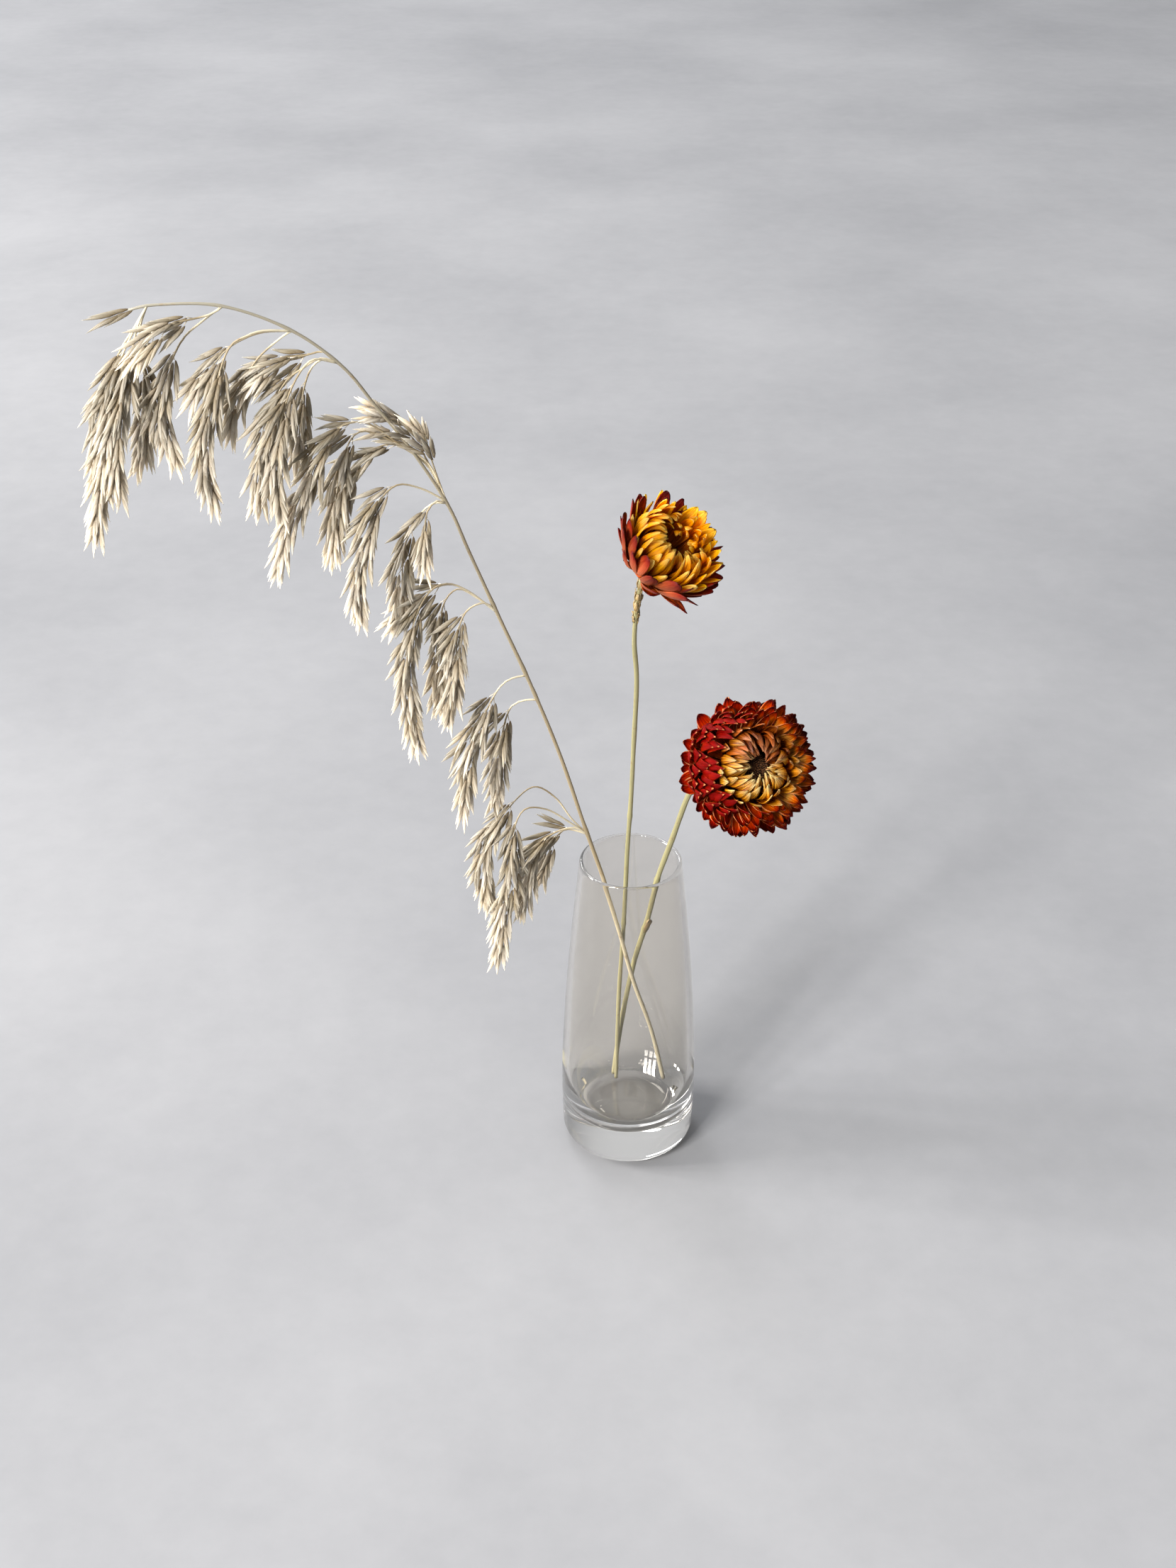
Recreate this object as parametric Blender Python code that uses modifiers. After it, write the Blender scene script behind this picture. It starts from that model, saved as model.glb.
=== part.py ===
"""Two dried strawflowers and one arching dried grass plume in a clear glass bud vase.

Metres, +Z up. The origin is the centre of the vase's underside, +X is to the viewer's right, and the
viewer stands at -Y and looks down a little.
"""

import math
import random

import bmesh
import bpy
from mathutils import Matrix, Vector

MM = 0.001
COLLECTION_NAME = "dried_strawflower"

# The vase: a rounded heel, fullest low down, and a convex taper to the mouth
VASE_HEIGHT = 121 * MM
VASE_HEEL_RADIUS = 6 * MM
VASE_LOW_RADIUS = 24.3 * MM
VASE_FULL_RADIUS = 24.7 * MM
VASE_FULL_HEIGHT = 24 * MM
VASE_MOUTH_RADIUS = 18 * MM
VASE_TAPER_POWER = 1.65
VASE_LIP_WALL = 1.4 * MM
VASE_LOW_WALL = 2.5 * MM
VASE_FLOOR_HEIGHT = 12.5 * MM
VASE_FLOOR_FILLET = 7 * MM
VASE_SIDES = 32

# The stems run from the floor's far side to the near side of the lip and lean towards the viewer
UPPER_STEM_RADIUS = 0.78 * MM
UPPER_STEM_ROUTE_MM = [
    (-4.4, 12.2, 13.6),
    (-3.8, 0.5, 60.0),
    (-2.4, -9.5, 101.0),
    (-1.7, -19.4, 137.0),
    (-0.8, -25.9, 162.0),
    (-0.3, -32.4, 186.8),
    (0.2, -39.4, 213.8),
    (-0.8, -43.8, 230.0),
    (-0.3, -47.1, 243.1),
    (1.0, -50.3, 255.0),
]
LOWER_STEM_RADIUS = 0.95 * MM
LOWER_STEM_ROUTE_MM = [
    (-5.7, 15.2, 13.7),
    (-2.5, 6.8, 45.6),
    (1.5, -1.5, 77.5),
    (5.7, -7.4, 100.1),
    (8.7, -12.3, 120.0),
    (13.3, -19.9, 142.0),
    (18.3, -26.4, 164.3),
    (23.0, -28.6, 173.0),
    (28.6, -27.4, 176.0),
    (33.8, -28.2, 176.2),
]
GRASS_CULM_ROUTE_MM = [
    (14.5, 10.7, 13.6),
    (8.5, 2.6, 44.3),
    (1.5, -4.6, 71.6),
    (-3.8, -10.4, 97.4),
    (-9.6, -12.2, 121.0),
    (-16.1, -18.0, 146.4),
    (-24.4, -25.0, 179.4),
    (-33.4, -32.0, 209.3),
    (-42.5, -38.0, 236.0),
    (-50.6, -43.0, 260.0),
    (-56.3, -48.0, 278.0),
    (-65.7, -53.0, 297.0),
    (-74.9, -57.0, 312.0),
    (-83.2, -61.0, 325.2),
    (-96.2, -65.0, 337.0),
    (-113.6, -69.0, 345.0),
    (-130.4, -72.0, 346.3),
    (-137.7, -73.0, 345.2),
]
CULM_FOOT_RADIUS = 0.7 * MM
CULM_TIP_RADIUS = 0.36 * MM
CULM_STEP = 8 * MM
CULM_MOUTH_POINT = 4

# The papery scales that spiral round the golden flower's stem under its head
SCALE_COUNT = 6
SCALE_TOP_GAP = 5.5 * MM
SCALE_STEP = 2.7 * MM
SCALE_LENGTHS_MM = (3.6, 4.1, 4.6)
SCALE_WIDTH = 1.7 * MM
SCALE_HALF_THICKNESS = 0.35 * MM
SCALE_TIP_LIFT = 0.9 * MM

# The dried side bud low on the crimson flower's stem
BUD_PLACE_MM = (5.9, -8.0, 99.0)
BUD_LENGTH = 8 * MM
BUD_RADIUS = 1.3 * MM
BUD_AXIS = Vector((0.24, -0.38, 0.9)).normalized()
BUD_RINGS = [(-0.5, 0.3), (-0.2, 0.85), (0.15, 1.0)]
BUD_TIP_SHARE = 0.55

# The golden flower: where its stem meets it, the way it faces, and its bracts' rows
UPPER_BLOOM_NECK_MM = (1.1, -50.6, 256.4)
UPPER_BLOOM_FACING = (0.58, -0.30, 0.74)
LOWER_BLOOM_NECK_MM = (34.2, -29.1, 176.6)
LOWER_BLOOM_FACING = (0.30, -0.81, 0.50)

# A row of bracts: how many, then three points (radius, height over the neck) of the arched line that each
# follows from root to tip, its greatest width and how deep it is cupped, all in millimetres
UPPER_OUTER_ROWS = [
    (6, (3.0, 1.4), (7.0, 1.0), (9.8, 4.4), 4.2, 0.6),
    (10, (4.4, 2.4), (11.0, 3.2), (17.4, 12.5), 5.2, 0.9),
    (11, (4.8, 3.4), (12.6, 5.2), (18.2, 17.6), 5.6, 0.8),
]
UPPER_INNER_ROWS = [
    (12, (4.6, 5.4), (13.2, 8.8), (13.8, 19.8), 5.4, 0.8),
    (13, (4.4, 6.4), (14.6, 15.4), (9.0, 21.8), 4.6, 0.6),
    (11, (3.8, 7.6), (11.4, 16.8), (5.0, 19.2), 3.8, 0.4),
]
LOWER_OUTER_ROWS = [
    (11, (4.6, 1.3), (12.0, -2.0), (20.0, 1.2), 7.0, 0.8),
    (12, (5.6, 2.6), (14.5, 1.2), (23.6, 6.4), 7.8, 1.0),
    (12, (6.2, 3.9), (15.5, 4.4), (23.4, 13.0), 7.8, 1.0),
    (12, (6.2, 5.2), (14.6, 8.4), (18.4, 18.4), 7.0, 0.9),
]
LOWER_INNER_ROWS = [
    (12, (5.6, 6.6), (14.0, 10.6), (13.2, 20.8), 5.6, 0.8),
    (13, (5.2, 8.0), (14.0, 16.6), (6.6, 21.4), 4.8, 0.6),
    (11, (4.6, 9.4), (10.6, 17.2), (4.2, 18.6), 3.8, 0.4),
]
BRACT_THICKNESS = 0.75 * MM
BRACT_STATIONS = [(0.0, 0.28), (0.45, 0.9), (0.84, 0.85)]

# Turned cores that carry the bracts: (radius, height over the neck) in millimetres, from the axis and back
UPPER_CUP = [(0, 4.0), (5.4, 4.0), (5.8, 3.2), (4.6, 1.4), (1.6, 0.3), (0, 0.3)]
UPPER_RECEPTACLE = [(0, 8.2), (4.2, 8.2), (5.2, 6.8), (5.2, 4.3), (0, 4.3)]
LOWER_CUP = [(0, 5.4), (6.4, 5.4), (7.0, 4.2), (5.8, 1.6), (2.0, 0.3), (0, 0.3)]
LOWER_RECEPTACLE = [(0, 9.6), (4.8, 9.6), (6.0, 8.0), (6.0, 5.7), (0, 5.7)]
CORE_SIDES = 18

# The discs of florets, in millimetres: the seat's height over the neck, the radius and the crown's height
UPPER_DISC_MM = (8.5, 3.3, 2.6)
LOWER_DISC_MM = (9.9, 3.4, 5.0)
DISC_RINGS = 6
DISC_SIDES = 16
FLORET_RELIEF = 0.5 * MM
GOLDEN_ANGLE = math.radians(137.508)

# The plume nods along this heading, and a spray's depth is set along the line of sight
PLUME_HEADING = Vector((-math.cos(math.radians(25)), -math.sin(math.radians(25)), 0))
TOWARD_VIEWER = Vector((0, -0.85, 0.52))
UP = Vector((0, 0, 1))

# A spray: where it leaves the culm (millimetres along it past the vase's mouth), how far it swings
# towards the viewer, where its spikelets begin (a share of its length), whether a side branchlet leaves it
# there, and its route as (out, up) points in millimetres from the culm
SPRAYS = {
    "tip_long": (281, 2, 0.20, False, [(4, -6), (9, -15), (13, -28), (17, -44), (21, -63)]),
    "tip_outer": (281, -4, 0.34, False, [(4, -5), (9, -11), (15, -21), (18, -32), (20, -46)]),
    "tip_middle": (281, 6, 0.22, False, [(3, -6), (7, -20), (11, -34), (12, -53)]),
    "tip_inner": (281, -7, 0.30, False, [(3, -5), (4, -12), (3, -22), (6, -36), (8, -43)]),
    "second_out": (261, 3, 0.30, False, [(4, -2), (16, -4), (25, -11)]),
    "second_down": (261, -3, 0.35, False, [(6, -3), (13, -8), (20, -21), (20, -28), (18, -40)]),
    "third_long": (241, 3, 0.34, False, [(8, 1), (13, 0), (18, -3), (23, -15), (27, -28), (26, -46)]),
    "third_out": (241, -2, 0.50, False, [(8, 1), (14, 0), (20, -3), (30, -13)]),
    "third_short": (241, -5, 0.40, False, [(3, -1), (11, -6), (17, -14), (21, -24)]),
    "fourth_long": (225, 2, 0.28, False, [(5, 2), (10, 0), (15, -3), (19, -9), (23, -20), (26, -38)]),
    "fourth_inner": (225, 7, 0.32, False, [(8, 1), (15, -10), (19, -26), (19, -41)]),
    "fourth_out": (225, -5, 0.30, False, [(4, 4), (10, 4), (19, 4), (28, 0)]),
    "fourth_right": (225, -4, 0.35, False, [(5, 2), (9, -1), (12, -10), (14, -25)]),
    "fifth_long": (168, 3, 0.46, False, [(5, 13), (13, 20), (24, 29), (34, 27), (41, 15), (48, 2), (51, -10)]),
    "fifth_drop": (168, -3, 0.50, False, [(5, 12), (13, 20), (24, 27), (30, 23), (34, 8), (36, -9)]),
    "fifth_middle": (168, -6, 0.40, False, [(5, 12), (10, 18), (17, 22), (25, 20), (31, 12), (34, 0)]),
    "fifth_up": (168, -2, 0.50, False, [(5, 13), (9, 21), (14, 27), (21, 34)]),
    "fifth_upright": (168, 3, 0.55, False, [(3, 10), (5, 18), (6, 25)]),
    "fifth_near": (168, 6, 0.32, False, [(2, 2), (8, 6), (15, 8), (21, 3), (25, -7), (28, -18), (28, -32)]),
    "fifth_inner": (168, -6, 0.30, False, [(3, 1), (7, 0), (12, -6), (15, -14), (16, -32)]),
    "fifth_right": (168, 4, 0.30, False, [(3, 1), (6, -2), (7, -9), (7, -19)]),
    "sixth_long": (124, 2, 0.40, True, [(9, 9), (16, 13), (22, 11), (27, 2), (30, -13), (28, -40)]),
    "sixth_middle": (124, -5, 0.36, False, [(7, 7), (13, 11), (18, 6), (19, -8), (21, -26)]),
    "sixth_inner": (124, 6, 0.28, False, [(4, 4), (10, 2), (13, -6), (14, -18), (17, -34)]),
    "sixth_out": (124, -3, 0.50, False, [(9, 9), (16, 13), (25, 11), (35, 4)]),
    "seventh": (97, 3, 0.22, True, [(5, 0), (9, -2), (13, -8), (19, -19), (21, -30), (23, -43)]),
    "eighth": (86, -4, 0.22, True, [(4, 1), (9, 0), (12, -7), (14, -19), (15, -34)]),
    "ninth_long": (23, -3, 0.45, True, [(6, 8), (12, 18), (20, 24), (29, 18), (37, 8), (38, -8), (34, -22)]),
    "ninth_middle": (23, 5, 0.40, True, [(7, 7), (15, 14), (23, 16), (27, 8), (28, -8), (31, -22), (33, -41)]),
    "ninth_near": (23, 1, 0.28, False, [(5, 4), (12, 4), (19, 0), (22, -12), (24, -24)]),
    "ninth_short": (23, -5, 0.25, False, [(5, 3), (9, 4), (13, 0), (17, -12)]),
}
BRANCH_ROOT_RADIUS = 0.34 * MM
BRANCH_TIP_RADIUS = 0.26 * MM
BRANCH_STEP = 12 * MM
BRANCHLET_LENGTHS_MM = (12, 20)
BRANCHLET_FAN = 0.55
BRANCHLET_BARE_SHARE = 0.3
SPIKELET_SPACING = 4.4 * MM
SPIKELET_LENGTHS_MM = (9.5, 12.5)
SPIKELET_HALF_WIDTH = 1.2 * MM
SPIKELET_DEPTH = 1.6 * MM
SPIKELET_ROOT = 0.45 * MM
SPIKELET_TIP_INSET = 8 * MM
SPIKELET_SPREAD = 0.42
PLUME_SEED = 11

# Colours are linear, with roughness
GLASS = ("clear_glass", (0.86, 0.88, 0.87), 0.04)
STRAW_STEM = ("straw_stem", (0.47, 0.42, 0.20), 0.6)
GRASS_STRAW = ("grass_straw", (0.62, 0.52, 0.36), 0.75)
RUST = ("rust_bract", (0.30, 0.055, 0.025), 0.5)
GOLD = ("gold_bract", (0.75, 0.36, 0.03), 0.4)
CRIMSON = ("crimson_bract", (0.28, 0.012, 0.010), 0.45)
BRONZE = ("bronze_bract", (0.56, 0.25, 0.07), 0.4)
DARK_GOLD = ("dark_gold_disc", (0.20, 0.09, 0.015), 0.8)
DARK_BROWN = ("dark_brown_disc", (0.05, 0.02, 0.008), 0.85)


def clear_scene():
    for obj in list(bpy.data.objects):
        bpy.data.objects.remove(obj, do_unlink=True)


def new_collection(name):
    collection = bpy.data.collections.new(name)
    bpy.context.scene.collection.children.link(collection)
    return collection


def material(finish):
    name, colour, roughness = finish
    found = bpy.data.materials.new(name)
    found.use_nodes = True
    shader = found.node_tree.nodes["Principled BSDF"]
    shader.inputs["Base Color"].default_value = (*colour, 1)
    shader.inputs["Roughness"].default_value = roughness
    shader.inputs["Metallic"].default_value = 0
    if finish is GLASS:
        shader.inputs["Transmission Weight"].default_value = 1
        shader.inputs["IOR"].default_value = 1.5
    return found


def add_object(name, mesh, collection):
    obj = bpy.data.objects.new(name, mesh)
    collection.objects.link(obj)
    return obj


def millimetres(points):
    return [Vector(point) * MM for point in points]


def smooth_route(points, spacing):
    """Points about this far apart on the smooth curve (Catmull-Rom) through the given points."""
    ends = [2 * points[0] - points[1], *points, 2 * points[-1] - points[-2]]
    route = []
    for before, start, end, after in zip(ends, ends[1:], ends[2:], ends[3:]):
        steps = max(1, round((end - start).length / spacing))
        for step in range(steps):
            t = step / steps
            route.append(
                0.5
                * (
                    2 * start
                    + (end - before) * t
                    + (2 * before - 5 * start + 4 * end - after) * t**2
                    + (3 * start - before - 3 * end + after) * t**3
                )
            )
    return [*route, points[-1].copy()]


def place_along(route, distance):
    """The point this far along a route, and the way the route runs there."""
    for start, end in zip(route, route[1:]):
        length = (end - start).length
        if distance <= length:
            return start + (end - start) * distance / length, (end - start).normalized()
        distance -= length
    return route[-1].copy(), (route[-1] - route[-2]).normalized()


def route_length(route):
    return sum((end - start).length for start, end in zip(route, route[1:]))


def tube(name, route, radii, bevel_resolution, collection):
    """A closed tube along a route, with a radius at each end, made from a bevelled curve."""
    curve = bpy.data.curves.new(name + "_line", "CURVE")
    curve.dimensions = "3D"
    curve.bevel_depth = 1
    curve.bevel_resolution = bevel_resolution
    curve.use_fill_caps = True
    spline = curve.splines.new("POLY")
    spline.points.add(len(route) - 1)
    for index, (point, place) in enumerate(zip(spline.points, route)):
        share = index / (len(route) - 1)
        point.co = (*place, 1)
        point.radius = radii[0] + (radii[1] - radii[0]) * share
    drawn = bpy.data.objects.new(name + "_line", curve)
    collection.objects.link(drawn)
    bpy.context.view_layer.update()
    evaluated = drawn.evaluated_get(bpy.context.evaluated_depsgraph_get())
    mesh = bpy.data.meshes.new_from_object(evaluated)
    made = add_object(name, mesh, collection)
    made.matrix_world = drawn.matrix_world
    bpy.data.objects.remove(drawn)
    bpy.data.curves.remove(curve)
    weld(mesh)
    return made


def weld(mesh):
    shape = bmesh.new()
    shape.from_mesh(mesh)
    bmesh.ops.remove_doubles(shape, verts=shape.verts, dist=0.001 * MM)
    bmesh.ops.recalc_face_normals(shape, faces=shape.faces)
    shape.to_mesh(mesh)
    shape.free()


def turned(name, profile, sides, collection):
    """A solid of revolution about Z: the profile runs from the axis, down the outer side and back."""
    mesh = bpy.data.meshes.new(name)
    edges = [(index, index + 1) for index in range(len(profile) - 1)]
    mesh.from_pydata([(radius, 0, height) for radius, height in profile], edges, [])
    obj = add_object(name, mesh, collection)
    screw = obj.modifiers.new("turn", "SCREW")
    screw.steps = sides
    screw.render_steps = sides
    screw.use_merge_vertices = True
    screw.merge_threshold = 0.001 * MM
    return obj


def apply_modifiers(obj):
    evaluated = obj.evaluated_get(bpy.context.evaluated_depsgraph_get())
    mesh = bpy.data.meshes.new_from_object(evaluated)
    obj.modifiers.clear()
    obj.data = mesh


def spindle(name, rings, tip, collection, root=None):
    """A closed loft through rings of corners to a point, from a point or, with four corners, a flat end.

    Corners 0 and 2 of a four-cornered ring are a blade's edges. Both of its faces are split into triangles
    alike, so a thin curved blade never crosses itself.
    """
    shape = bmesh.new()
    loops = [[shape.verts.new(corner) for corner in ring] for ring in rings]
    top = shape.verts.new(tip)
    corners = len(rings[0])
    for low, high in zip(loops, loops[1:]):
        for corner in range(corners):
            following = (corner + 1) % corners
            if corner % 2 == 0:
                shape.faces.new((low[corner], low[following], high[following]))
                shape.faces.new((low[corner], high[following], high[corner]))
            else:
                shape.faces.new((low[corner], low[following], high[corner]))
                shape.faces.new((low[following], high[following], high[corner]))
    for corner in range(corners):
        shape.faces.new((loops[-1][corner], loops[-1][(corner + 1) % corners], top))
    if root is None:
        shape.faces.new((loops[0][0], loops[0][3], loops[0][1]))
        shape.faces.new((loops[0][1], loops[0][3], loops[0][2]))
    else:
        bottom = shape.verts.new(root)
        for corner in range(corners):
            shape.faces.new((loops[0][(corner + 1) % corners], loops[0][corner], bottom))
    bmesh.ops.recalc_face_normals(shape, faces=shape.faces)
    mesh = bpy.data.meshes.new(name)
    shape.to_mesh(mesh)
    shape.free()
    return add_object(name, mesh, collection)


def fuse(base, repeats, solver="EXACT"):
    """Joins every object of a collection to the base as one body, and removes them."""
    union = base.modifiers.new("fuse", "BOOLEAN")
    union.operation = "UNION"
    union.operand_type = "COLLECTION"
    union.collection = repeats
    union.solver = solver
    apply_modifiers(base)
    for obj in list(repeats.objects):
        bpy.data.objects.remove(obj, do_unlink=True)
    bpy.data.collections.remove(repeats)
    keep_main_body(base.data)


def keep_main_body(mesh):
    """Drops the sealed pockets and loose scraps that fusing crossed blades leaves."""
    shape = bmesh.new()
    shape.from_mesh(mesh)
    bmesh.ops.triangulate(shape, faces=shape.faces)
    left = set(shape.faces)
    bodies = []
    while left:
        body = []
        queue = [left.pop()]
        while queue:
            face = queue.pop()
            body.append(face)
            for edge in face.edges:
                for neighbour in edge.link_faces:
                    if neighbour in left:
                        left.remove(neighbour)
                        queue.append(neighbour)
        bodies.append(body)
    bodies.sort(key=len)
    scraps = [face for body in bodies[:-1] for face in body]
    bmesh.ops.delete(shape, geom=scraps, context="FACES")
    shape.to_mesh(mesh)
    shape.free()


def finish(obj, look):
    obj.data.materials.clear()
    obj.data.materials.append(material(look))
    obj.data.shade_smooth()
    obj.data.set_sharp_from_angle(angle=math.radians(40))


def outer_radius(height):
    """The vase's outer radius above its heel."""
    if height < VASE_FULL_HEIGHT:
        share = (height - VASE_HEEL_RADIUS) / (VASE_FULL_HEIGHT - VASE_HEEL_RADIUS)
        swell = math.sin(math.pi / 2 * share)
        return VASE_LOW_RADIUS + (VASE_FULL_RADIUS - VASE_LOW_RADIUS) * swell
    share = (height - VASE_FULL_HEIGHT) / (VASE_HEIGHT - VASE_FULL_HEIGHT)
    return VASE_FULL_RADIUS - (VASE_FULL_RADIUS - VASE_MOUTH_RADIUS) * share**VASE_TAPER_POWER


def wall(height):
    share = height / VASE_HEIGHT
    return VASE_LOW_WALL + (VASE_LIP_WALL - VASE_LOW_WALL) * share


def arc(centre, radius, start, end, steps):
    """Points of an arc in the (radius, height) plane, from one angle in degrees to another."""
    angles = [math.radians(start + (end - start) * step / steps) for step in range(steps + 1)]
    return [(centre[0] + radius * math.cos(a), centre[1] + radius * math.sin(a)) for a in angles]


def build_vase(collection):
    heel = arc((VASE_LOW_RADIUS - VASE_HEEL_RADIUS, VASE_HEEL_RADIUS), VASE_HEEL_RADIUS, 0, -90, 4)
    lip_radius = VASE_LIP_WALL / 2
    lip_height = VASE_HEIGHT - lip_radius
    lip = arc((outer_radius(lip_height) - lip_radius, lip_height), lip_radius, 180, 0, 4)
    shoulder = VASE_FLOOR_HEIGHT + VASE_FLOOR_FILLET
    inner_low = outer_radius(shoulder) - wall(shoulder)
    floor = arc((inner_low - VASE_FLOOR_FILLET, shoulder), VASE_FLOOR_FILLET, -90, 0, 4)
    rises = 5
    levels = [shoulder + (lip_height - shoulder) * step / rises for step in range(1, rises)]
    inner_wall = [(outer_radius(level) - wall(level), level) for level in levels]
    falls = 7
    drops = [lip_height + (VASE_HEEL_RADIUS - lip_height) * step / falls for step in range(1, falls)]
    outer_wall = [(outer_radius(level), level) for level in drops]
    profile = [(0, VASE_FLOOR_HEIGHT), *floor, *inner_wall, *lip, *outer_wall, *heel, (0, 0)]
    vase = turned("vase", profile, VASE_SIDES, collection)
    apply_modifiers(vase)
    finish(vase, GLASS)


def scale_leaf(name, root, along, outward, length, collection):
    """A dried papery scale that lies along a stem with its tip lifted."""
    across = along.cross(outward).normalized() * SCALE_WIDTH / 2
    rise = outward * SCALE_HALF_THICKNESS
    rings = []
    for share, wide, lift in ((0.0, 0.6, -0.25), (0.55, 1.0, 0.35)):
        middle = root + along * length * share + outward * lift * MM
        rings.append([middle - across * wide, middle + rise, middle + across * wide, middle - rise])
    spindle(name, rings, root + along * length + outward * SCALE_TIP_LIFT, collection)


def build_upper_stem(collection):
    route = smooth_route(millimetres(UPPER_STEM_ROUTE_MM), 20 * MM)
    stem = tube("stem_upper", route, (UPPER_STEM_RADIUS, UPPER_STEM_RADIUS), 2, collection)
    scales = new_collection("upper_stem_scales")
    length = route_length(route)
    for index in range(SCALE_COUNT):
        place, along = place_along(route, length - SCALE_TOP_GAP - SCALE_STEP * index)
        sideways = along.cross(UP + Vector((0.3, 0, 0))).normalized()
        outward = Matrix.Rotation(GOLDEN_ANGLE * index, 3, along) @ sideways
        root = place + outward * UPPER_STEM_RADIUS * 0.7
        size = SCALE_LENGTHS_MM[index % len(SCALE_LENGTHS_MM)] * MM
        scale_leaf(f"scale_{index}", root, along, outward, size, scales)
    fuse(stem, scales)
    finish(stem, STRAW_STEM)


def build_lower_stem(collection):
    route = smooth_route(millimetres(LOWER_STEM_ROUTE_MM), 14 * MM)
    stem = tube("stem_lower", route, (LOWER_STEM_RADIUS, LOWER_STEM_RADIUS), 2, collection)
    buds = new_collection("lower_stem_bud")
    place = Vector(BUD_PLACE_MM) * MM
    across = BUD_AXIS.cross(Vector((0, 1, 0))).normalized() * BUD_RADIUS
    deep = BUD_AXIS.cross(across)
    rings = []
    for share, wide in BUD_RINGS:
        middle = place + BUD_AXIS * BUD_LENGTH * share
        rings.append([middle - across * wide, middle - deep * wide, middle + across * wide, middle + deep * wide])
    spindle("bud", rings, place + BUD_AXIS * BUD_LENGTH * BUD_TIP_SHARE, buds)
    fuse(stem, buds)
    finish(stem, STRAW_STEM)


def bloom_frame(neck_mm, facing):
    """The matrix that sets a flower, modelled upright on its neck, where it is and facing its way."""
    turn = Vector(facing).to_track_quat("Z", "Y")
    return Matrix.Translation(Vector(neck_mm) * MM) @ turn.to_matrix().to_4x4()


def bract(name, line, angle, width, cup, collection):
    """One papery bract: a cupped, pointed blade on an arched line in the plane of its angle."""
    around = Matrix.Rotation(angle, 3, "Z")
    across = around @ Vector((0, 1, 0))
    root, bend, tip = (Vector((radius, 0, height)) * MM for radius, height in line)
    rings = []
    for share, wide in BRACT_STATIONS:
        middle = root * (1 - share) ** 2 + bend * 2 * share * (1 - share) + tip * share**2
        along = ((bend - root) * (1 - share) + (tip - bend) * share).normalized()
        inward = Vector((-along.z, 0, along.x))
        lift = around @ inward * cup * wide * MM
        half = around @ inward * BRACT_THICKNESS / 2
        centre = around @ middle
        reach = across * width * MM / 2 * wide
        rings.append([centre - reach + lift, centre - half, centre + reach + lift, centre + half])
    spindle(name, rings, around @ tip, collection)


def build_bracts(name, core, rows, frame, seed, look, collection):
    """The rows of bracts of one colour, fused to the turned core that they grow from."""
    draw = random.Random(seed)
    body = turned(name, [(radius * MM, height * MM) for radius, height in core], CORE_SIDES, collection)
    apply_modifiers(body)
    blades = new_collection(name + "_blades")
    for row, (count, root, bend, tip, width, cup) in enumerate(rows):
        for index in range(count):
            angle = 2 * math.pi * (index + 0.5 * (row % 2) + draw.uniform(-0.14, 0.14)) / count
            reach = draw.uniform(-0.7, 0.5)
            line = (root, bend, (tip[0] + 0.6 * reach, tip[1] + reach))
            bract(f"{name}_{row}_{index}", line, angle, width, cup, blades)
    fuse(body, blades)
    body.data.transform(frame)
    finish(body, look)


def build_disc(name, sizes, frame, look, collection):
    """The flower's centre: a low dome whose florets stand out as a check of points."""
    seat, radius, crown = (size * MM for size in sizes)
    rim = 0.25 * crown
    dome = []
    for ring in range(DISC_RINGS + 1):
        turn = math.pi / 2 * ring / DISC_RINGS
        dome.append((radius * math.sin(turn), seat + rim + (crown - rim) * math.cos(turn)))
    body = turned(name, [*dome, (radius, seat), (0, seat)], DISC_SIDES, collection)
    apply_modifiers(body)
    for vertex in body.data.vertices:
        out = math.hypot(vertex.co.x, vertex.co.y)
        if vertex.co.z < seat + rim / 2 or out < 0.01 * MM:
            continue
        ring = round(math.asin(min(1, out / radius)) / (math.pi / 2) * DISC_RINGS)
        side = round(math.atan2(vertex.co.y, vertex.co.x) / (2 * math.pi) * DISC_SIDES)
        if (ring + side) % 2 == 0:
            vertex.co.z += FLORET_RELIEF
    body.data.transform(frame)
    finish(body, look)


def spikelet(name, root, along, broad, length, collection):
    """One spikelet: a flat spindle with a keel, pointed at both ends, its root sunk in the branch."""
    across = (broad - along * broad.dot(along)).normalized()
    deep = along.cross(across)
    middle = root + along * length * 0.42
    back = middle - deep * SPIKELET_DEPTH * 0.35
    ring = [
        back - across * SPIKELET_HALF_WIDTH,
        back + across * SPIKELET_HALF_WIDTH,
        middle + deep * SPIKELET_DEPTH * 0.65,
    ]
    spindle(name, [ring], root + along * length, collection, root=root - along * SPIKELET_ROOT)


def dress_branch(name, route, first, draw, collection):
    """Hangs spikelets along a branch from a distance along it to near its tip, each to another side."""
    length = max(first, route_length(route) - SPIKELET_TIP_INSET)
    count = max(1, round((length - first) / SPIKELET_SPACING))
    for index in range(count + 1):
        place, along = place_along(route, first + (length - first) * index / count)
        sideways = along.cross(PLUME_HEADING.cross(UP)).normalized()
        fan = Matrix.Rotation(GOLDEN_ANGLE * index + draw.uniform(-0.4, 0.4), 3, along) @ sideways
        spread = SPIKELET_SPREAD * (0.25 if index == count else draw.uniform(0.8, 1.3))
        hang = (along + fan * spread - UP * 0.25).normalized()
        size = draw.uniform(*SPIKELET_LENGTHS_MM) * MM
        spikelet(f"{name}_{index}", place, hang, along.cross(fan), size, collection)


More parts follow.
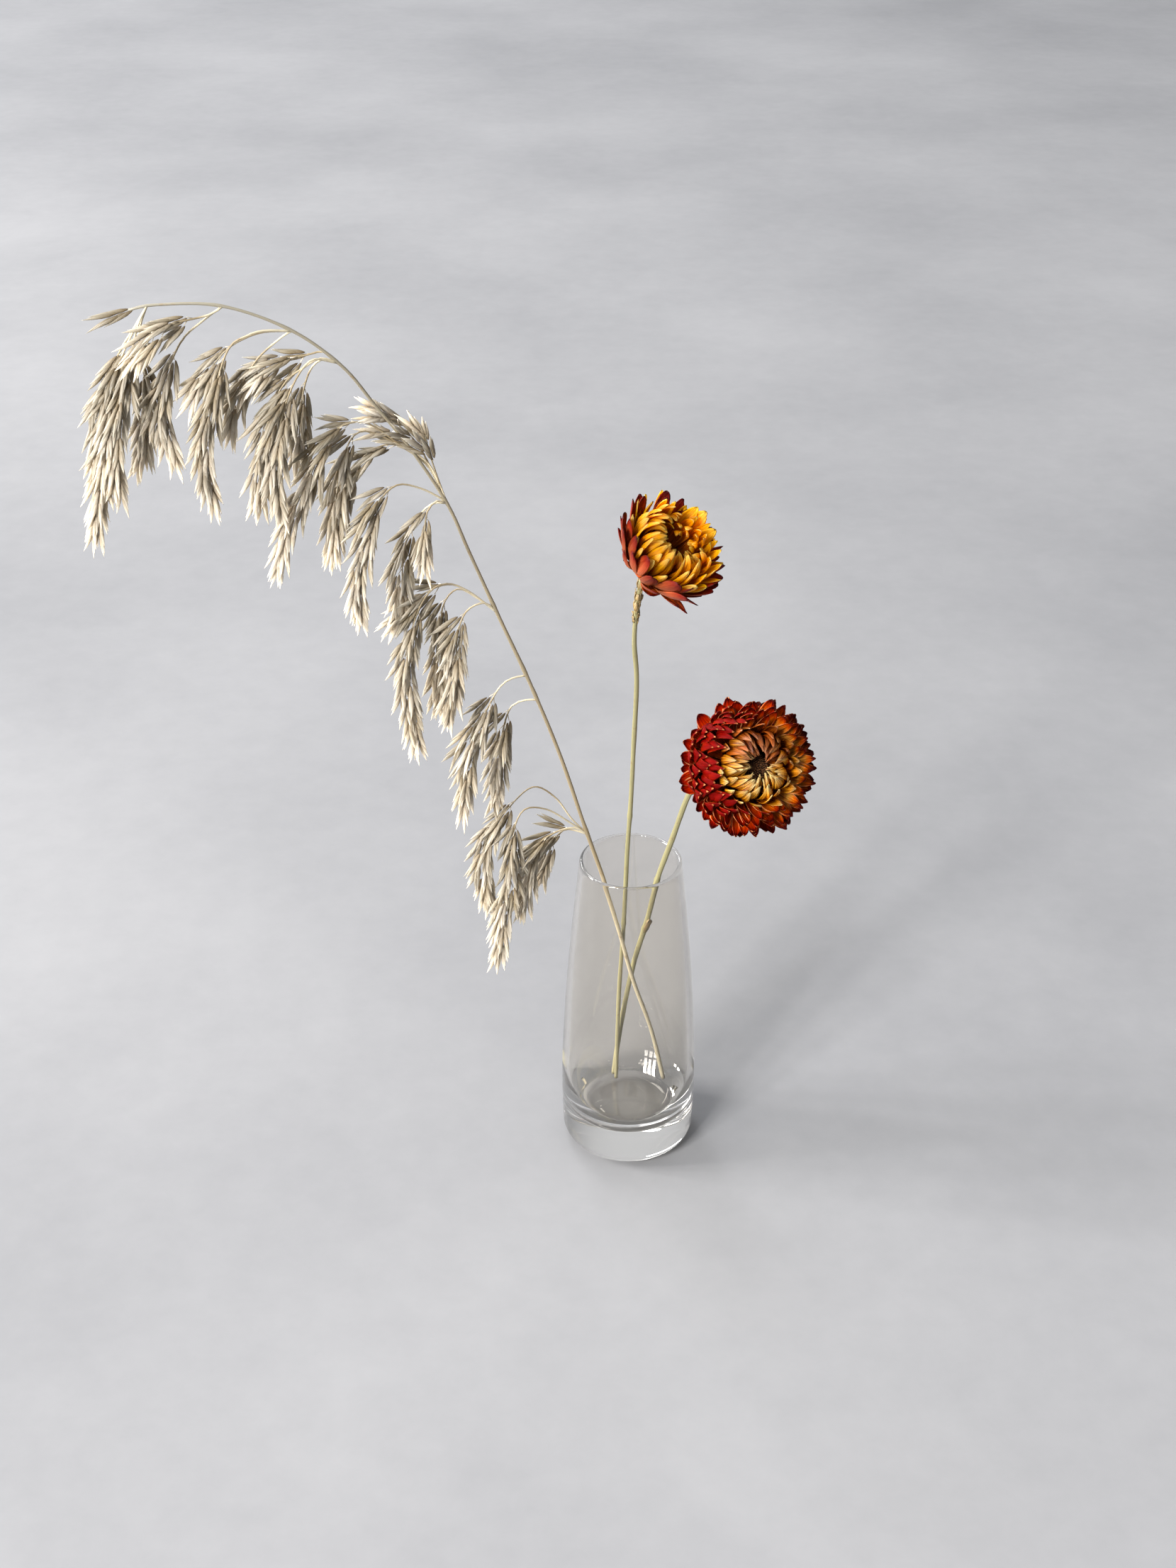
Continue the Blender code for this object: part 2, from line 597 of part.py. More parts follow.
def side_branchlet(route, share, draw):
    """A short branchlet that leaves a spray at a share of its length, fans out and hangs."""
    place, along = place_along(route, route_length(route) * share)
    length = draw.uniform(*BRANCHLET_LENGTHS_MM) * MM * (1.3 - 0.6 * share)
    fan = PLUME_HEADING * draw.uniform(-0.4, 1.0) + TOWARD_VIEWER * draw.uniform(-1.0, 1.0)
    leave = (along + fan * BRANCHLET_FAN).normalized()
    bend = place + leave * length * 0.5
    return [place, bend, bend + (leave * 0.35 - UP * 0.8).normalized() * length * 0.5]


def build_plume(collection):
    draw = random.Random(PLUME_SEED)
    points = millimetres(GRASS_CULM_ROUTE_MM)
    route = smooth_route(points, CULM_STEP)
    culm = tube("grass_plume", route, (CULM_FOOT_RADIUS, CULM_TIP_RADIUS), 1, collection)
    mouth = points[CULM_MOUTH_POINT]
    before = next(index for index, point in enumerate(route) if (point - mouth).length < 0.01 * MM)
    above_mouth = route[before:]
    parts = new_collection("plume_parts")
    for name, (distance, swing, first, branchlet, outline) in SPRAYS.items():
        start, _ = place_along(above_mouth, distance * MM)
        shape = [start]
        reach = outline[-1][0]
        for out, up in outline:
            depth = TOWARD_VIEWER * swing * MM * min(1, out / reach)
            shape.append(start + PLUME_HEADING * out * MM + UP * up * MM + depth)
        branch = smooth_route(shape, BRANCH_STEP)
        tube(name, branch, (BRANCH_ROOT_RADIUS, BRANCH_TIP_RADIUS), 0, parts)
        dress_branch(name, branch, route_length(branch) * first, draw, parts)
        if branchlet:
            twig = side_branchlet(branch, first, draw)
            tube(name + "_side", twig, (BRANCH_TIP_RADIUS, BRANCH_TIP_RADIUS), 0, parts)
            dress_branch(name + "_side", twig, route_length(twig) * BRANCHLET_BARE_SHARE, draw, parts)
    tip, along = place_along(route, route_length(route))
    spikelet("plume_tip", tip, along, PLUME_HEADING.cross(UP), 11 * MM, parts)
    fuse(culm, parts, "MANIFOLD")
    finish(culm, GRASS_STRAW)


def build():
    clear_scene()
    collection = new_collection(COLLECTION_NAME)
    build_vase(collection)
    build_upper_stem(collection)
    build_lower_stem(collection)
    upper = bloom_frame(UPPER_BLOOM_NECK_MM, UPPER_BLOOM_FACING)
    build_bracts("bloom_upper_outer_bracts", UPPER_CUP, UPPER_OUTER_ROWS, upper, 1, RUST, collection)
    build_bracts("bloom_upper_inner_bracts", UPPER_RECEPTACLE, UPPER_INNER_ROWS, upper, 2, GOLD, collection)
    build_disc("bloom_upper_disc", UPPER_DISC_MM, upper, DARK_GOLD, collection)
    lower = bloom_frame(LOWER_BLOOM_NECK_MM, LOWER_BLOOM_FACING)
    build_bracts("bloom_lower_outer_bracts", LOWER_CUP, LOWER_OUTER_ROWS, lower, 3, CRIMSON, collection)
    build_bracts("bloom_lower_inner_bracts", LOWER_RECEPTACLE, LOWER_INNER_ROWS, lower, 4, BRONZE, collection)
    build_disc("bloom_lower_disc", LOWER_DISC_MM, lower, DARK_BROWN, collection)
    build_plume(collection)


build()
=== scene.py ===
"""The looks of two dried strawflowers and a dried grass plume in a glass bud vase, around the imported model.

Metres, +Z up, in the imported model's own frame: the origin is the centre of the vase's underside, +X is to
the viewer's right, and the viewer stands at -Y and looks down. Tables in millimetres say so.
"""

import functools
import math
import random

import bpy
import numpy as np
from mathutils import Matrix, Vector


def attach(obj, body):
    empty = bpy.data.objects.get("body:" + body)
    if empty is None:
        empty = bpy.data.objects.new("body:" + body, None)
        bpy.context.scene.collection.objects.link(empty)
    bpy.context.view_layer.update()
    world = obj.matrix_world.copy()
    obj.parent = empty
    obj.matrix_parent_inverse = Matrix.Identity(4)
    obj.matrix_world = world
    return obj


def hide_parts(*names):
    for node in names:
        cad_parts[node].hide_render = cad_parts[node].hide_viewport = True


MM = 0.001
UP = Vector((0, 0, 1))
GOLDEN_ANGLE = math.radians(137.508)

# The camera of the photograph, found from the vase's ellipses and the stems
IMAGE_HEIGHT = 2212
FOCAL_PIXELS = 3000
SENSOR_WIDTH = 36
CAMERA_PLACE_MM = (-15.0, -623.2, 533.5)
CAMERA_PITCH = math.radians(58.543)

# The vase: its outer shape, its wall and its inner floor, which is flat in the middle and rises in a curve
VASE_HEIGHT = 121 * MM
VASE_HEEL_RADIUS = 6 * MM
VASE_LOW_RADIUS = 24.3 * MM
VASE_FULL_RADIUS = 24.7 * MM
VASE_FULL_HEIGHT = 24 * MM
VASE_MOUTH_RADIUS = 18 * MM
VASE_TAPER_POWER = 1.65
VASE_LIP_WALL = 1.6 * MM
VASE_LOW_WALL = 2.5 * MM
VASE_FLOOR_HEIGHT = 12.5 * MM
VASE_FLOOR_FLAT = 11.5 * MM
VASE_FLOOR_RISE = 19 * MM
VASE_FLOOR_SQUARENESS = 2.4
VASE_SIDES = 160

# The stems' routes from foot to head, in millimetres, and the ribs around them
UPPER_STEM_RADIUS = 0.78 * MM
UPPER_STEM_ROUTE_MM = [
    (-4.4, 12.2, 13.7), (-3.8, 0.5, 60.0), (-2.4, -9.5, 101.0),
    (-1.7, -19.4, 137.0), (-0.8, -25.9, 162.0), (-0.3, -32.4, 186.8),
    (0.2, -39.4, 213.8), (-0.8, -43.8, 230.0), (-0.3, -47.1, 243.1),
    (1.0, -50.3, 255.0),
]
LOWER_STEM_RADIUS = 0.95 * MM
LOWER_STEM_ROUTE_MM = [
    (-5.4, 14.5, 14.2), (-2.5, 6.8, 45.6), (1.5, -1.5, 77.5),
    (5.7, -7.4, 100.1), (8.7, -12.3, 120.0), (13.3, -19.9, 142.0),
    (18.3, -26.4, 164.3), (23.0, -28.6, 173.0), (28.6, -27.4, 176.0),
    (33.8, -28.2, 176.2),
]
GRASS_CULM_ROUTE_MM = [
    (14.1, 10.2, 15.1), (8.5, 2.6, 44.3), (1.5, -4.6, 71.6),
    (-3.8, -10.4, 97.4), (-9.6, -12.2, 121.0), (-16.1, -18.0, 146.4),
    (-24.4, -25.0, 179.4), (-33.4, -32.0, 209.3), (-42.5, -38.0, 236.0),
    (-50.6, -43.0, 260.0), (-56.3, -48.0, 278.0), (-65.7, -53.0, 297.0),
    (-74.9, -57.0, 312.0), (-83.2, -61.0, 325.2), (-96.2, -65.0, 337.0),
    (-113.6, -69.0, 345.0), (-130.4, -72.0, 346.3), (-137.7, -73.0, 345.2),
]
CULM_FOOT_RADIUS = 0.85 * MM
CULM_TIP_RADIUS = 0.36 * MM
CULM_MOUTH_POINT = 4
STEM_STEP = 1.4 * MM
STEM_SIDES = 24
STEM_RIBS = 9
STEM_RELIEF = 0.05
CULM_STEP = 2 * MM
CULM_SIDES = 16
CULM_RIBS = 6
CULM_RELIEF = 0.04

# The side bud on the lower stem, and the papery scales of the bud and of the upper stem under its head
BUD_PLACE_MM = (5.9, -8.0, 99.0)
BUD_LENGTH = 8 * MM
BUD_RADIUS = 1.3 * MM
BUD_AXIS = Vector((0.24, -0.38, 0.9)).normalized()
BUD_SCALES = 9
BUD_SCALE_WIDTH = 1.3 * MM
HEAD_SCALES = 22
SCALE_THICKNESS = 0.14 * MM
SCALE_STEPS = 7

# The flowers: where each meets its stem and the way it faces
UPPER_BLOOM_NECK_MM = (1.1, -50.6, 256.4)
UPPER_BLOOM_FACING = (0.58, -0.30, 0.74)
LOWER_BLOOM_NECK_MM = (34.2, -29.1, 176.6)
LOWER_BLOOM_FACING = (0.30, -0.81, 0.50)

# A row of bracts: how many, three points (radius, height over the neck) of the arched line that each follows,
# its greatest width, how deep it is cupped, how far its tip curls outward, all in millimetres, and how blunt
# its tip is, from 0 for a lance to 1 for a round end
UPPER_OUTER_ROWS = [
    (5, (3.0, 1.6), (6.0, 1.6), (9.0, 5.6), 3.2, 0.5, 0.9, 0.3),
    (9, (4.2, 2.4), (11.0, 3.2), (16.2, 10.8), 4.0, 0.6, 0.5, 0.6),
    (12, (4.8, 3.4), (13.0, 4.8), (18.2, 15.4), 4.8, 0.8, 0.3, 0.8),
    (11, (4.8, 3.8), (13.0, 6.0), (17.0, 17.2), 4.8, 0.8, 0.1, 0.8),
]
UPPER_INNER_ROWS = [
    (16, (4.6, 4.8), (12.8, 7.4), (15.8, 16.6), 3.6, 0.7, -0.3, 0.75),
    (18, (4.6, 5.4), (14.0, 9.6), (13.0, 19.2), 3.2, 0.7, -1.0, 0.60),
    (20, (4.5, 6.0), (15.0, 12.4), (9.6, 20.6), 3.0, 0.7, -1.4, 0.50),
    (20, (4.3, 6.8), (14.4, 15.0), (6.6, 20.2), 2.8, 0.6, -1.5, 0.50),
    (18, (3.9, 7.6), (12.2, 16.4), (4.6, 18.8), 2.4, 0.5, -1.2, 0.50),
    (14, (3.6, 8.0), (10.2, 16.2), (3.4, 17.4), 2.1, 0.4, -0.9, 0.50),
]
LOWER_OUTER_ROWS = [
    (23, (4.6, 1.3), (12.0, -2.0), (20.6, 1.2), 5.2, 0.5, 0.5, 0.85),
    (26, (5.1, 2.0), (13.4, -0.6), (22.5, 3.8), 5.2, 0.7, 0.5, 0.85),
    (28, (5.6, 2.6), (14.5, 1.2), (23.1, 6.6), 5.0, 0.8, 0.5, 0.85),
    (28, (5.9, 3.3), (15.2, 2.8), (23.0, 9.6), 4.9, 0.9, 0.5, 0.80),
    (26, (6.2, 3.9), (15.5, 4.4), (22.2, 12.6), 4.7, 0.9, 0.4, 0.75),
    (24, (6.2, 4.4), (15.3, 5.8), (20.7, 15.2), 4.6, 0.9, 0.3, 0.70),
    (22, (6.2, 4.8), (15.0, 7.2), (19.0, 17.4), 4.4, 0.9, 0.2, 0.60),
    (19, (6.2, 5.2), (14.6, 8.6), (17.0, 19.0), 4.3, 0.9, 0.0, 0.50),
]
LOWER_INNER_ROWS = [
    (15, (5.9, 5.9), (14.6, 9.8), (13.2, 20.4), 4.0, 0.8, 0.0, 0.35),
    (16, (5.6, 6.6), (15.2, 12.0), (10.0, 21.5), 3.8, 0.8, -0.6, 0.35),
    (17, (5.4, 7.4), (15.4, 14.6), (7.2, 21.6), 3.6, 0.7, -0.9, 0.30),
    (16, (5.2, 8.0), (14.8, 16.6), (5.2, 21.0), 3.2, 0.6, -1.0, 0.30),
    (15, (4.8, 8.8), (12.8, 17.4), (4.0, 19.9), 2.9, 0.5, -1.0, 0.25),
    (14, (4.5, 9.4), (10.8, 17.0), (3.2, 18.6), 2.5, 0.4, -0.8, 0.25),
]

# The blunt maroon bracts that stand out around the upper flower, one by one: the angle about its axis in
# degrees, the tip's radius and height over the neck, the width, both in millimetres, and how blunt it is
UPPER_EDGE_BRACTS = [
    (46, 18.6, 17.4, 4.6, 1.0),
    (27, 18.9, 17.2, 4.4, 1.0),
    (8, 18.2, 17.0, 4.4, 0.9),
    (92, 17.9, 15.6, 5.4, 0.9),
    (106, 17.2, 11.6, 2.6, 0.4),
    (116, 15.4, 8.6, 2.4, 0.6),
    (128, 12.4, 7.0, 3.0, 0.5),
    (139, 9.6, 3.6, 3.0, 0.4),
    (158, 14.6, 12.2, 4.2, 0.6),
    (-140, 10.4, 3.4, 6.4, 0.9),
    (-112, 15.6, 6.4, 3.4, 0.5),
    (-93, 17.4, 4.6, 2.7, 0.5),
    (-80, 17.8, 6.2, 2.5, 0.2),
    (-66, 18.4, 13.2, 5.0, 1.0),
    (-50, 18.8, 15.8, 4.4, 0.9),
    (-33, 19.0, 17.0, 3.6, 0.3),
    (-14, 18.6, 17.2, 4.0, 0.8),
]
# Broad golden bracts on the upper flower's far side, given in the same way
UPPER_GOLD_BRACTS = [
    (1, 17.6, 19.8, 5.2, 1.0),
    (17, 16.8, 19.4, 4.8, 0.9),
    (-17, 16.6, 19.2, 4.6, 0.9),
]

# The lower flower's outline: shallow notches, as (angle in degrees, depth in millimetres), the side on which
# its bracts stand closed, with their crimson backs outward, the side on which they are bronze, and the side
# on which its inner bracts are painted brown as shade
LOWER_NOTCHES = [(76, 3.2), (10, 2.4), (-88, 3.0), (-36, 1.6), (142, 1.4), (-150, 1.2)]
NOTCH_HALF_WIDTH = 7
CLOSED_SIDE = 162
CLOSED_HALF_WIDTH = 92
CLOSED_FADE = 44
BRONZE_SIDE = -12
BRONZE_FOCUS = 3
SHADY_SIDE = 75
BRACT_THICKNESS = 0.22 * MM
BRACT_STEPS = 14
BRACT_COLUMNS = 11

# Turned cores that carry the bracts: (radius, height over the neck) in millimetres, from the axis and back
UPPER_CUP = [(0, 4.0), (5.4, 4.0), (5.8, 3.2), (4.6, 1.4), (1.6, 0.3), (0, 0.3)]
UPPER_RECEPTACLE = [(0, 8.2), (4.2, 8.2), (5.2, 6.8), (5.2, 4.3), (0, 4.3)]
LOWER_CUP = [(0, 5.4), (6.4, 5.4), (7.0, 4.2), (5.8, 1.6), (2.0, 0.3), (0, 0.3)]
LOWER_RECEPTACLE = [(0, 9.6), (4.8, 9.6), (6.0, 8.0), (6.0, 5.7), (0, 5.7)]
CORE_SIDES = 48

# The discs of florets, in millimetres: the seat's height over the neck, the radius and the crown's height
UPPER_DISC_MM = (8.5, 3.3, 2.6)
LOWER_DISC_MM = (9.9, 3.4, 5.0)
FLORETS = 130
FLORET_RADIUS = 0.24 * MM

# The plume nods along this heading, and a spray's depth is set along the line of sight
PLUME_HEADING = Vector((-math.cos(math.radians(25)), -math.sin(math.radians(25)), 0))
TOWARD_VIEWER = Vector((0, -0.85, 0.52))

# The sprays, in groups that leave the culm so many millimetres past the vase's mouth. A spray: how far it
# swings towards the viewer, where its spikelets begin (a share of its length), how full it is (the reach of
# its spikelets' stalks), and its route as (out, up) points from the culm, in millimetres
SPRAYS = {
    ("tip", 281): [
        (2, 0.20, 2.6, [(4, -6), (9, -15), (13, -28), (17, -44), (21, -63)]),
        (-4, 0.34, 2.4, [(4, -5), (9, -11), (15, -21), (18, -32), (20, -46)]),
        (6, 0.22, 2.6, [(3, -6), (7, -20), (11, -34), (12, -53)]),
        (-7, 0.30, 2.2, [(3, -5), (4, -12), (3, -22), (6, -36), (8, -43)]),
    ],
    ("second", 261): [
        (3, 0.30, 3.0, [(4, -2), (16, -4), (25, -11)]),
        (-3, 0.35, 2.4, [(6, -3), (13, -8), (20, -21), (20, -28), (18, -40)]),
    ],
    ("third", 241): [
        (3, 0.34, 3.0, [(8, 1), (13, 0), (18, -3), (23, -15), (27, -28), (26, -46)]),
        (-2, 0.50, 3.4, [(8, 1), (14, 0), (20, -3), (30, -13)]),
        (-5, 0.40, 3.0, [(3, -1), (11, -6), (17, -14), (21, -24)]),
    ],
    ("fourth", 225): [
        (2, 0.28, 3.0, [(5, 2), (10, 0), (15, -3), (19, -9), (23, -20), (26, -38)]),
        (7, 0.32, 2.8, [(8, 1), (15, -10), (19, -26), (19, -41)]),
        (-5, 0.30, 2.8, [(4, 4), (10, 4), (19, 4), (28, 0)]),
        (-4, 0.35, 3.0, [(5, 2), (9, -1), (12, -10), (14, -25)]),
    ],
    ("fifth", 168): [
        (3, 0.46, 3.2, [(5, 13), (13, 20), (24, 29), (34, 27), (41, 15), (48, 2), (51, -10)]),
        (-3, 0.50, 3.2, [(5, 12), (13, 20), (24, 27), (30, 23), (34, 8), (36, -9)]),
        (-6, 0.40, 3.4, [(5, 12), (10, 18), (17, 22), (25, 20), (31, 12), (34, 0)]),
        (-2, 0.50, 3.2, [(5, 13), (9, 21), (14, 27), (21, 34)]),
        (3, 0.55, 1.4, [(3, 10), (5, 18), (6, 25)]),
        (6, 0.32, 2.8, [(2, 2), (8, 6), (15, 8), (21, 3), (25, -7), (28, -18), (28, -32)]),
        (-6, 0.30, 3.2, [(3, 1), (7, 0), (12, -6), (15, -14), (16, -32)]),
        (4, 0.30, 2.8, [(3, 1), (6, -2), (7, -9), (7, -19)]),
    ],
    ("sixth", 124): [
        (2, 0.40, 3.0, [(9, 9), (16, 13), (22, 11), (27, 2), (30, -13), (28, -40)]),
        (-5, 0.36, 3.0, [(7, 7), (13, 11), (18, 6), (19, -8), (21, -26)]),
        (6, 0.28, 2.6, [(4, 4), (10, 2), (13, -6), (14, -18), (17, -34)]),
        (-3, 0.50, 2.8, [(9, 9), (16, 13), (25, 11), (35, 4)]),
    ],
    ("seventh", 97): [
        (3, 0.22, 3.6, [(5, 0), (9, -2), (13, -8), (19, -19), (21, -30), (23, -43)]),
    ],
    ("eighth", 86): [
        (-4, 0.22, 3.2, [(4, 1), (9, 0), (12, -7), (14, -19), (15, -34)]),
    ],
    ("ninth", 23): [
        (-3, 0.45, 3.2, [(6, 8), (12, 18), (20, 24), (29, 18), (37, 8), (38, -8), (34, -22)]),
        (5, 0.40, 3.2, [(7, 7), (15, 14), (23, 16), (27, 8), (28, -8), (31, -22), (33, -41)]),
        (1, 0.28, 3.0, [(5, 4), (12, 4), (19, 0), (22, -12), (24, -24)]),
        (-5, 0.25, 2.6, [(5, 3), (9, 4), (13, 0), (17, -12)]),
    ],
}
BRANCH_SIDES = 8
BRANCH_ROOT_RADIUS = 0.32 * MM
BRANCH_TIP_RADIUS = 0.17 * MM
STALK_SIDES = 5
STALK_RADIUS = 0.13 * MM
SPIKELET_SPACING = 1.9 * MM
SPIKELET_LENGTHS_MM = (10.5, 13.5)
LEMMAS = 7
PLUME_SEED = 11

# The floor lies this far under the vase, so that the glass and the floor never share a plane
FLOOR_DROP = 0.15 * MM
FLOOR_SIZE = 12.0

# The room's even light, and its softly brighter wall behind the vase, which begins and is full at these
# cosines of the angle from its middle
ROOM_COLOUR = (0.82, 0.84, 0.88, 1)
ROOM_LIGHT = 0.36
BRIGHT_WALL_LIGHT = 0.78
BRIGHT_WALL_WAY = Vector((-0.20, 0.76, 0.62)).normalized()
BRIGHT_WALL_EDGES = (0.45, 1.0)

# Two windows of soft panes: the place of each, its panes across and up, the size of a pane, the distance
# from one pane to the next, and the power of a pane
WINDOW_COLOUR = (1.0, 0.975, 0.94)
WINDOWS = {
    "front_window": ((-1.83, -2.44, 1.55), (3, 2), (0.26, 0.60), (0.40, 0.76), 41),
    "side_window": ((-2.92, 0.16, 1.25), (3, 1), (0.26, 1.00), (0.46, 0.0), 62),
}

# A long strip lamp behind the vase, a wide one over the far floor, and a soft glow from above
STRIP_PLACE = (-1.4, 2.3, 1.75)
STRIP_SIZE = (1.8, 0.22)
STRIP_POWER = 24
STRIP_COLOUR = (0.98, 0.98, 1.0)
FAR_LAMP_PLACE = (-1.0, 2.6, 3.2)
FAR_LAMP_TARGET = (-0.5, 1.7, 0)
FAR_LAMP_CONE = math.radians(76)
FAR_LAMP_SIZE = 0.5
FAR_LAMP_POWER = 260
SKY_POWER = 0.85
SKY_ANGLE = math.radians(64)

# The glass. Rays turned more often than DEEP_RAYS in its walls go on with DEEP_TINT. Of the light on its way
# to dull things the walls leave WALL_SHADE, the base BASE_SHADE and the side away from the windows LEE_SHADE
# of that. The edges of base and side are shares of SHADE_REACH, up from the underside and across from half
GLASS_TINT = (0.91, 0.885, 0.84)
GLASS_INDEX = 1.5
DEEP_RAYS = 4.5
DEEP_TINT = (0.96, 0.955, 0.945)
WALL_SHADE = (0.87, 0.865, 0.85)
BASE_SHADE = (0.12, 0.118, 0.115)
LEE_SHADE = (0.66, 0.66, 0.65)
SHADE_REACH = 50 * MM

BLACK = (0, 0, 0)
WHITE = (1, 1, 1)

# Colour ramps from root to tip, or from foot to top: (place along it, red, green, blue). Those that have only
# a colour for a name are second ramps, which a look blends with its own
RAMPS = {
    "straw_stem": [(0.0, 0.40, 0.365, 0.21), (0.4, 0.28, 0.255, 0.125), (1.0, 0.25, 0.225, 0.11)],
    "papery_scales": [(0.0, 0.42, 0.30, 0.12), (0.5, 0.60, 0.46, 0.25), (1.0, 0.72, 0.60, 0.38)],
    "grass_culm": [
        (0.0, 0.62, 0.56, 0.41), (0.22, 0.58, 0.50, 0.34),
        (0.30, 0.29, 0.225, 0.13), (0.6, 0.27, 0.225, 0.145),
        (1.0, 0.27, 0.25, 0.195),
    ],
    "grass_husk": [
        (0.0, 0.27, 0.205, 0.135), (0.3, 0.47, 0.40, 0.295),
        (0.6, 0.70, 0.64, 0.53), (1.0, 0.84, 0.80, 0.71),
    ],
    "rust_bract_inside": [
        (0.0, 0.62, 0.24, 0.05), (0.5, 0.52, 0.08, 0.012),
        (0.78, 0.22, 0.012, 0.006), (0.96, 0.07, 0.003, 0.004),
    ],
    "rust_bract_outside": [
        (0.0, 0.62, 0.28, 0.13), (0.4, 0.50, 0.13, 0.055),
        (0.75, 0.25, 0.024, 0.014), (0.96, 0.08, 0.004, 0.005),
    ],
    # The gold bracts darken to orange-brown towards the root: painted shade among the packed bracts
    "gold_bract_inside": [
        (0.0, 0.36, 0.09, 0.002), (0.4, 0.66, 0.24, 0.003),
        (0.66, 1.0, 0.58, 0.008), (1.0, 1.0, 0.80, 0.10),
    ],
    "gold_bract_outside": [
        (0.1, 0.40, 0.10, 0.002), (0.36, 0.66, 0.22, 0.003),
        (0.56, 1.0, 0.60, 0.014), (0.82, 1.0, 0.86, 0.30),
    ],
    # A darker orange-brown that the upper flower's inner rows take more of: painted shade in its hollow
    "hollow_shade_orange": [
        (0.0, 0.26, 0.05, 0.001), (0.42, 0.56, 0.16, 0.003),
        (0.64, 1.0, 0.50, 0.010), (0.95, 1.0, 0.82, 0.20),
    ],
    "crimson_bract_inside": [
        (0.0, 0.50, 0.10, 0.006), (0.25, 0.80, 0.08, 0.005),
        (0.60, 0.66, 0.016, 0.004), (0.84, 0.06, 0.001, 0.001),
    ],
    "old_gold": [
        (0.0, 0.14, 0.03, 0.004), (0.22, 0.70, 0.22, 0.025),
        (0.50, 1.0, 0.62, 0.15), (0.67, 0.56, 0.11, 0.014),
        (0.82, 0.07, 0.003, 0.002),
    ],
    # Its pale last stop is a painted highlight on the small tips that catch the light
    "crimson_bract_outside": [
        (0.0, 0.24, 0.010, 0.004), (0.6, 0.24, 0.003, 0.002),
        (0.86, 0.18, 0.002, 0.002), (0.95, 0.90, 0.36, 0.16),
    ],
    "maroon": [
        (0.0, 0.30, 0.05, 0.01), (0.40, 0.52, 0.12, 0.02),
        (0.64, 0.30, 0.02, 0.005), (0.82, 0.05, 0.002, 0.002),
    ],
    "bronze_bract_inside": [
        (0.0, 0.08, 0.015, 0.002), (0.40, 0.46, 0.12, 0.012),
        (0.62, 1.0, 0.46, 0.07), (0.92, 1.0, 0.80, 0.36),
    ],
    "bronze_bract_outside": [
        (0.0, 0.14, 0.025, 0.004), (0.38, 0.50, 0.13, 0.013),
        (0.60, 1.0, 0.50, 0.07), (0.85, 1.0, 0.84, 0.38),
    ],
    # Brown for the upper side of the lower flower's ring: painted shade under the bracts over it
    "brown": [
        (0.0, 0.06, 0.010, 0.002), (0.4, 0.30, 0.06, 0.012),
        (0.75, 0.52, 0.16, 0.05), (1.0, 0.76, 0.36, 0.17),
    ],
}


class Shapes:
    """Collects many small closed shapes as one mesh, with two UV maps.

    The map "place" says where on its shape a point is, across and along. The map "draw" holds two numbers
    that are the same all over one shape.
    """

    def __init__(self):
        self.points = []
        self.faces = []
        self.looks = []
        self.places = []
        self.draws = []
        self.count = 0

    def add(self, points, faces, places, draw, look=0):
        self.points.append(points)
        self.faces.extend([tuple(corner + self.count for corner in face) for face in faces])
        self.looks.extend(look if isinstance(look, list) else [look] * len(faces))
        self.places.append(places)
        self.draws.append(np.tile(draw, (len(points), 1)))
        self.count += len(points)

    def mesh(self, name):
        made = bpy.data.meshes.new(name)
        made.from_pydata(np.concatenate(self.points).tolist(), [], self.faces)
        made.polygons.foreach_set("material_index", self.looks)
        corners = np.zeros(len(made.loops), np.int32)
        made.loops.foreach_get("vertex_index", corners)
        for title, values in (("place", self.places), ("draw", self.draws)):
            layer = made.uv_layers.new(name=title)
            layer.data.foreach_set("uv", np.concatenate(values)[corners].astype(np.float32).ravel())
        made.shade_smooth()
        made.update()
        return made


@functools.lru_cache(maxsize=None)
def blade_pattern(rows, columns):
    """The faces of a blade whose two skins share their outline, and the look of each: 0 inside, 1 outside."""
    front = np.arange(rows * columns).reshape(rows, columns)
    back = front.copy()
    inner = (rows - 2) * (columns - 2)
    back[1:-1, 1:-1] = np.arange(rows * columns, rows * columns + inner).reshape(rows - 2, columns - 2)
    faces = []
    for row in range(rows - 1):
        for column in range(columns - 1):
            for skin, turn in ((front, 1), (back, -1)):
                corners = [
                    int(skin[row, column]),
                    int(skin[row, column + 1]),
                    int(skin[row + 1, column + 1]),
                    int(skin[row + 1, column]),
                ]
                faces.append(tuple(corners[::turn]))
    return faces, [0, 1] * (len(faces) // 2)


def grid_normals(grid):
    """The normals of a grid of points, on the side that its rows and columns turn about."""
    along = np.gradient(grid, axis=0)
    across = np.gradient(grid, axis=1)
    normals = np.cross(across, along)
    return normals / np.maximum(np.linalg.norm(normals, axis=2, keepdims=True), 1e-12)


def add_blade(shapes, grid, thickness, draw, look=None):
    """A thin closed blade on a grid of points: rows along it, columns across it.

    Its two skins have a look each, or share the given one.
    """
    rows, columns = grid.shape[:2]
    half = grid_normals(grid) * thickness / 2
    front = grid + half
    front[0] = grid[0]
    front[-1] = grid[-1]
    front[:, 0] = grid[:, 0]
    front[:, -1] = grid[:, -1]
    back = (grid - half)[1:-1, 1:-1]
    along, across = np.meshgrid(np.linspace(0, 1, rows), np.linspace(0, 1, columns), indexing="ij")
    places = np.stack([across, along], axis=2)
    points = np.concatenate([front.reshape(-1, 3), back.reshape(-1, 3)])
    places = np.concatenate([places.reshape(-1, 2), places[1:-1, 1:-1].reshape(-1, 2)])
    faces, looks = blade_pattern(rows, columns)
    shapes.add(points, faces, places, draw, looks if look is None else look)


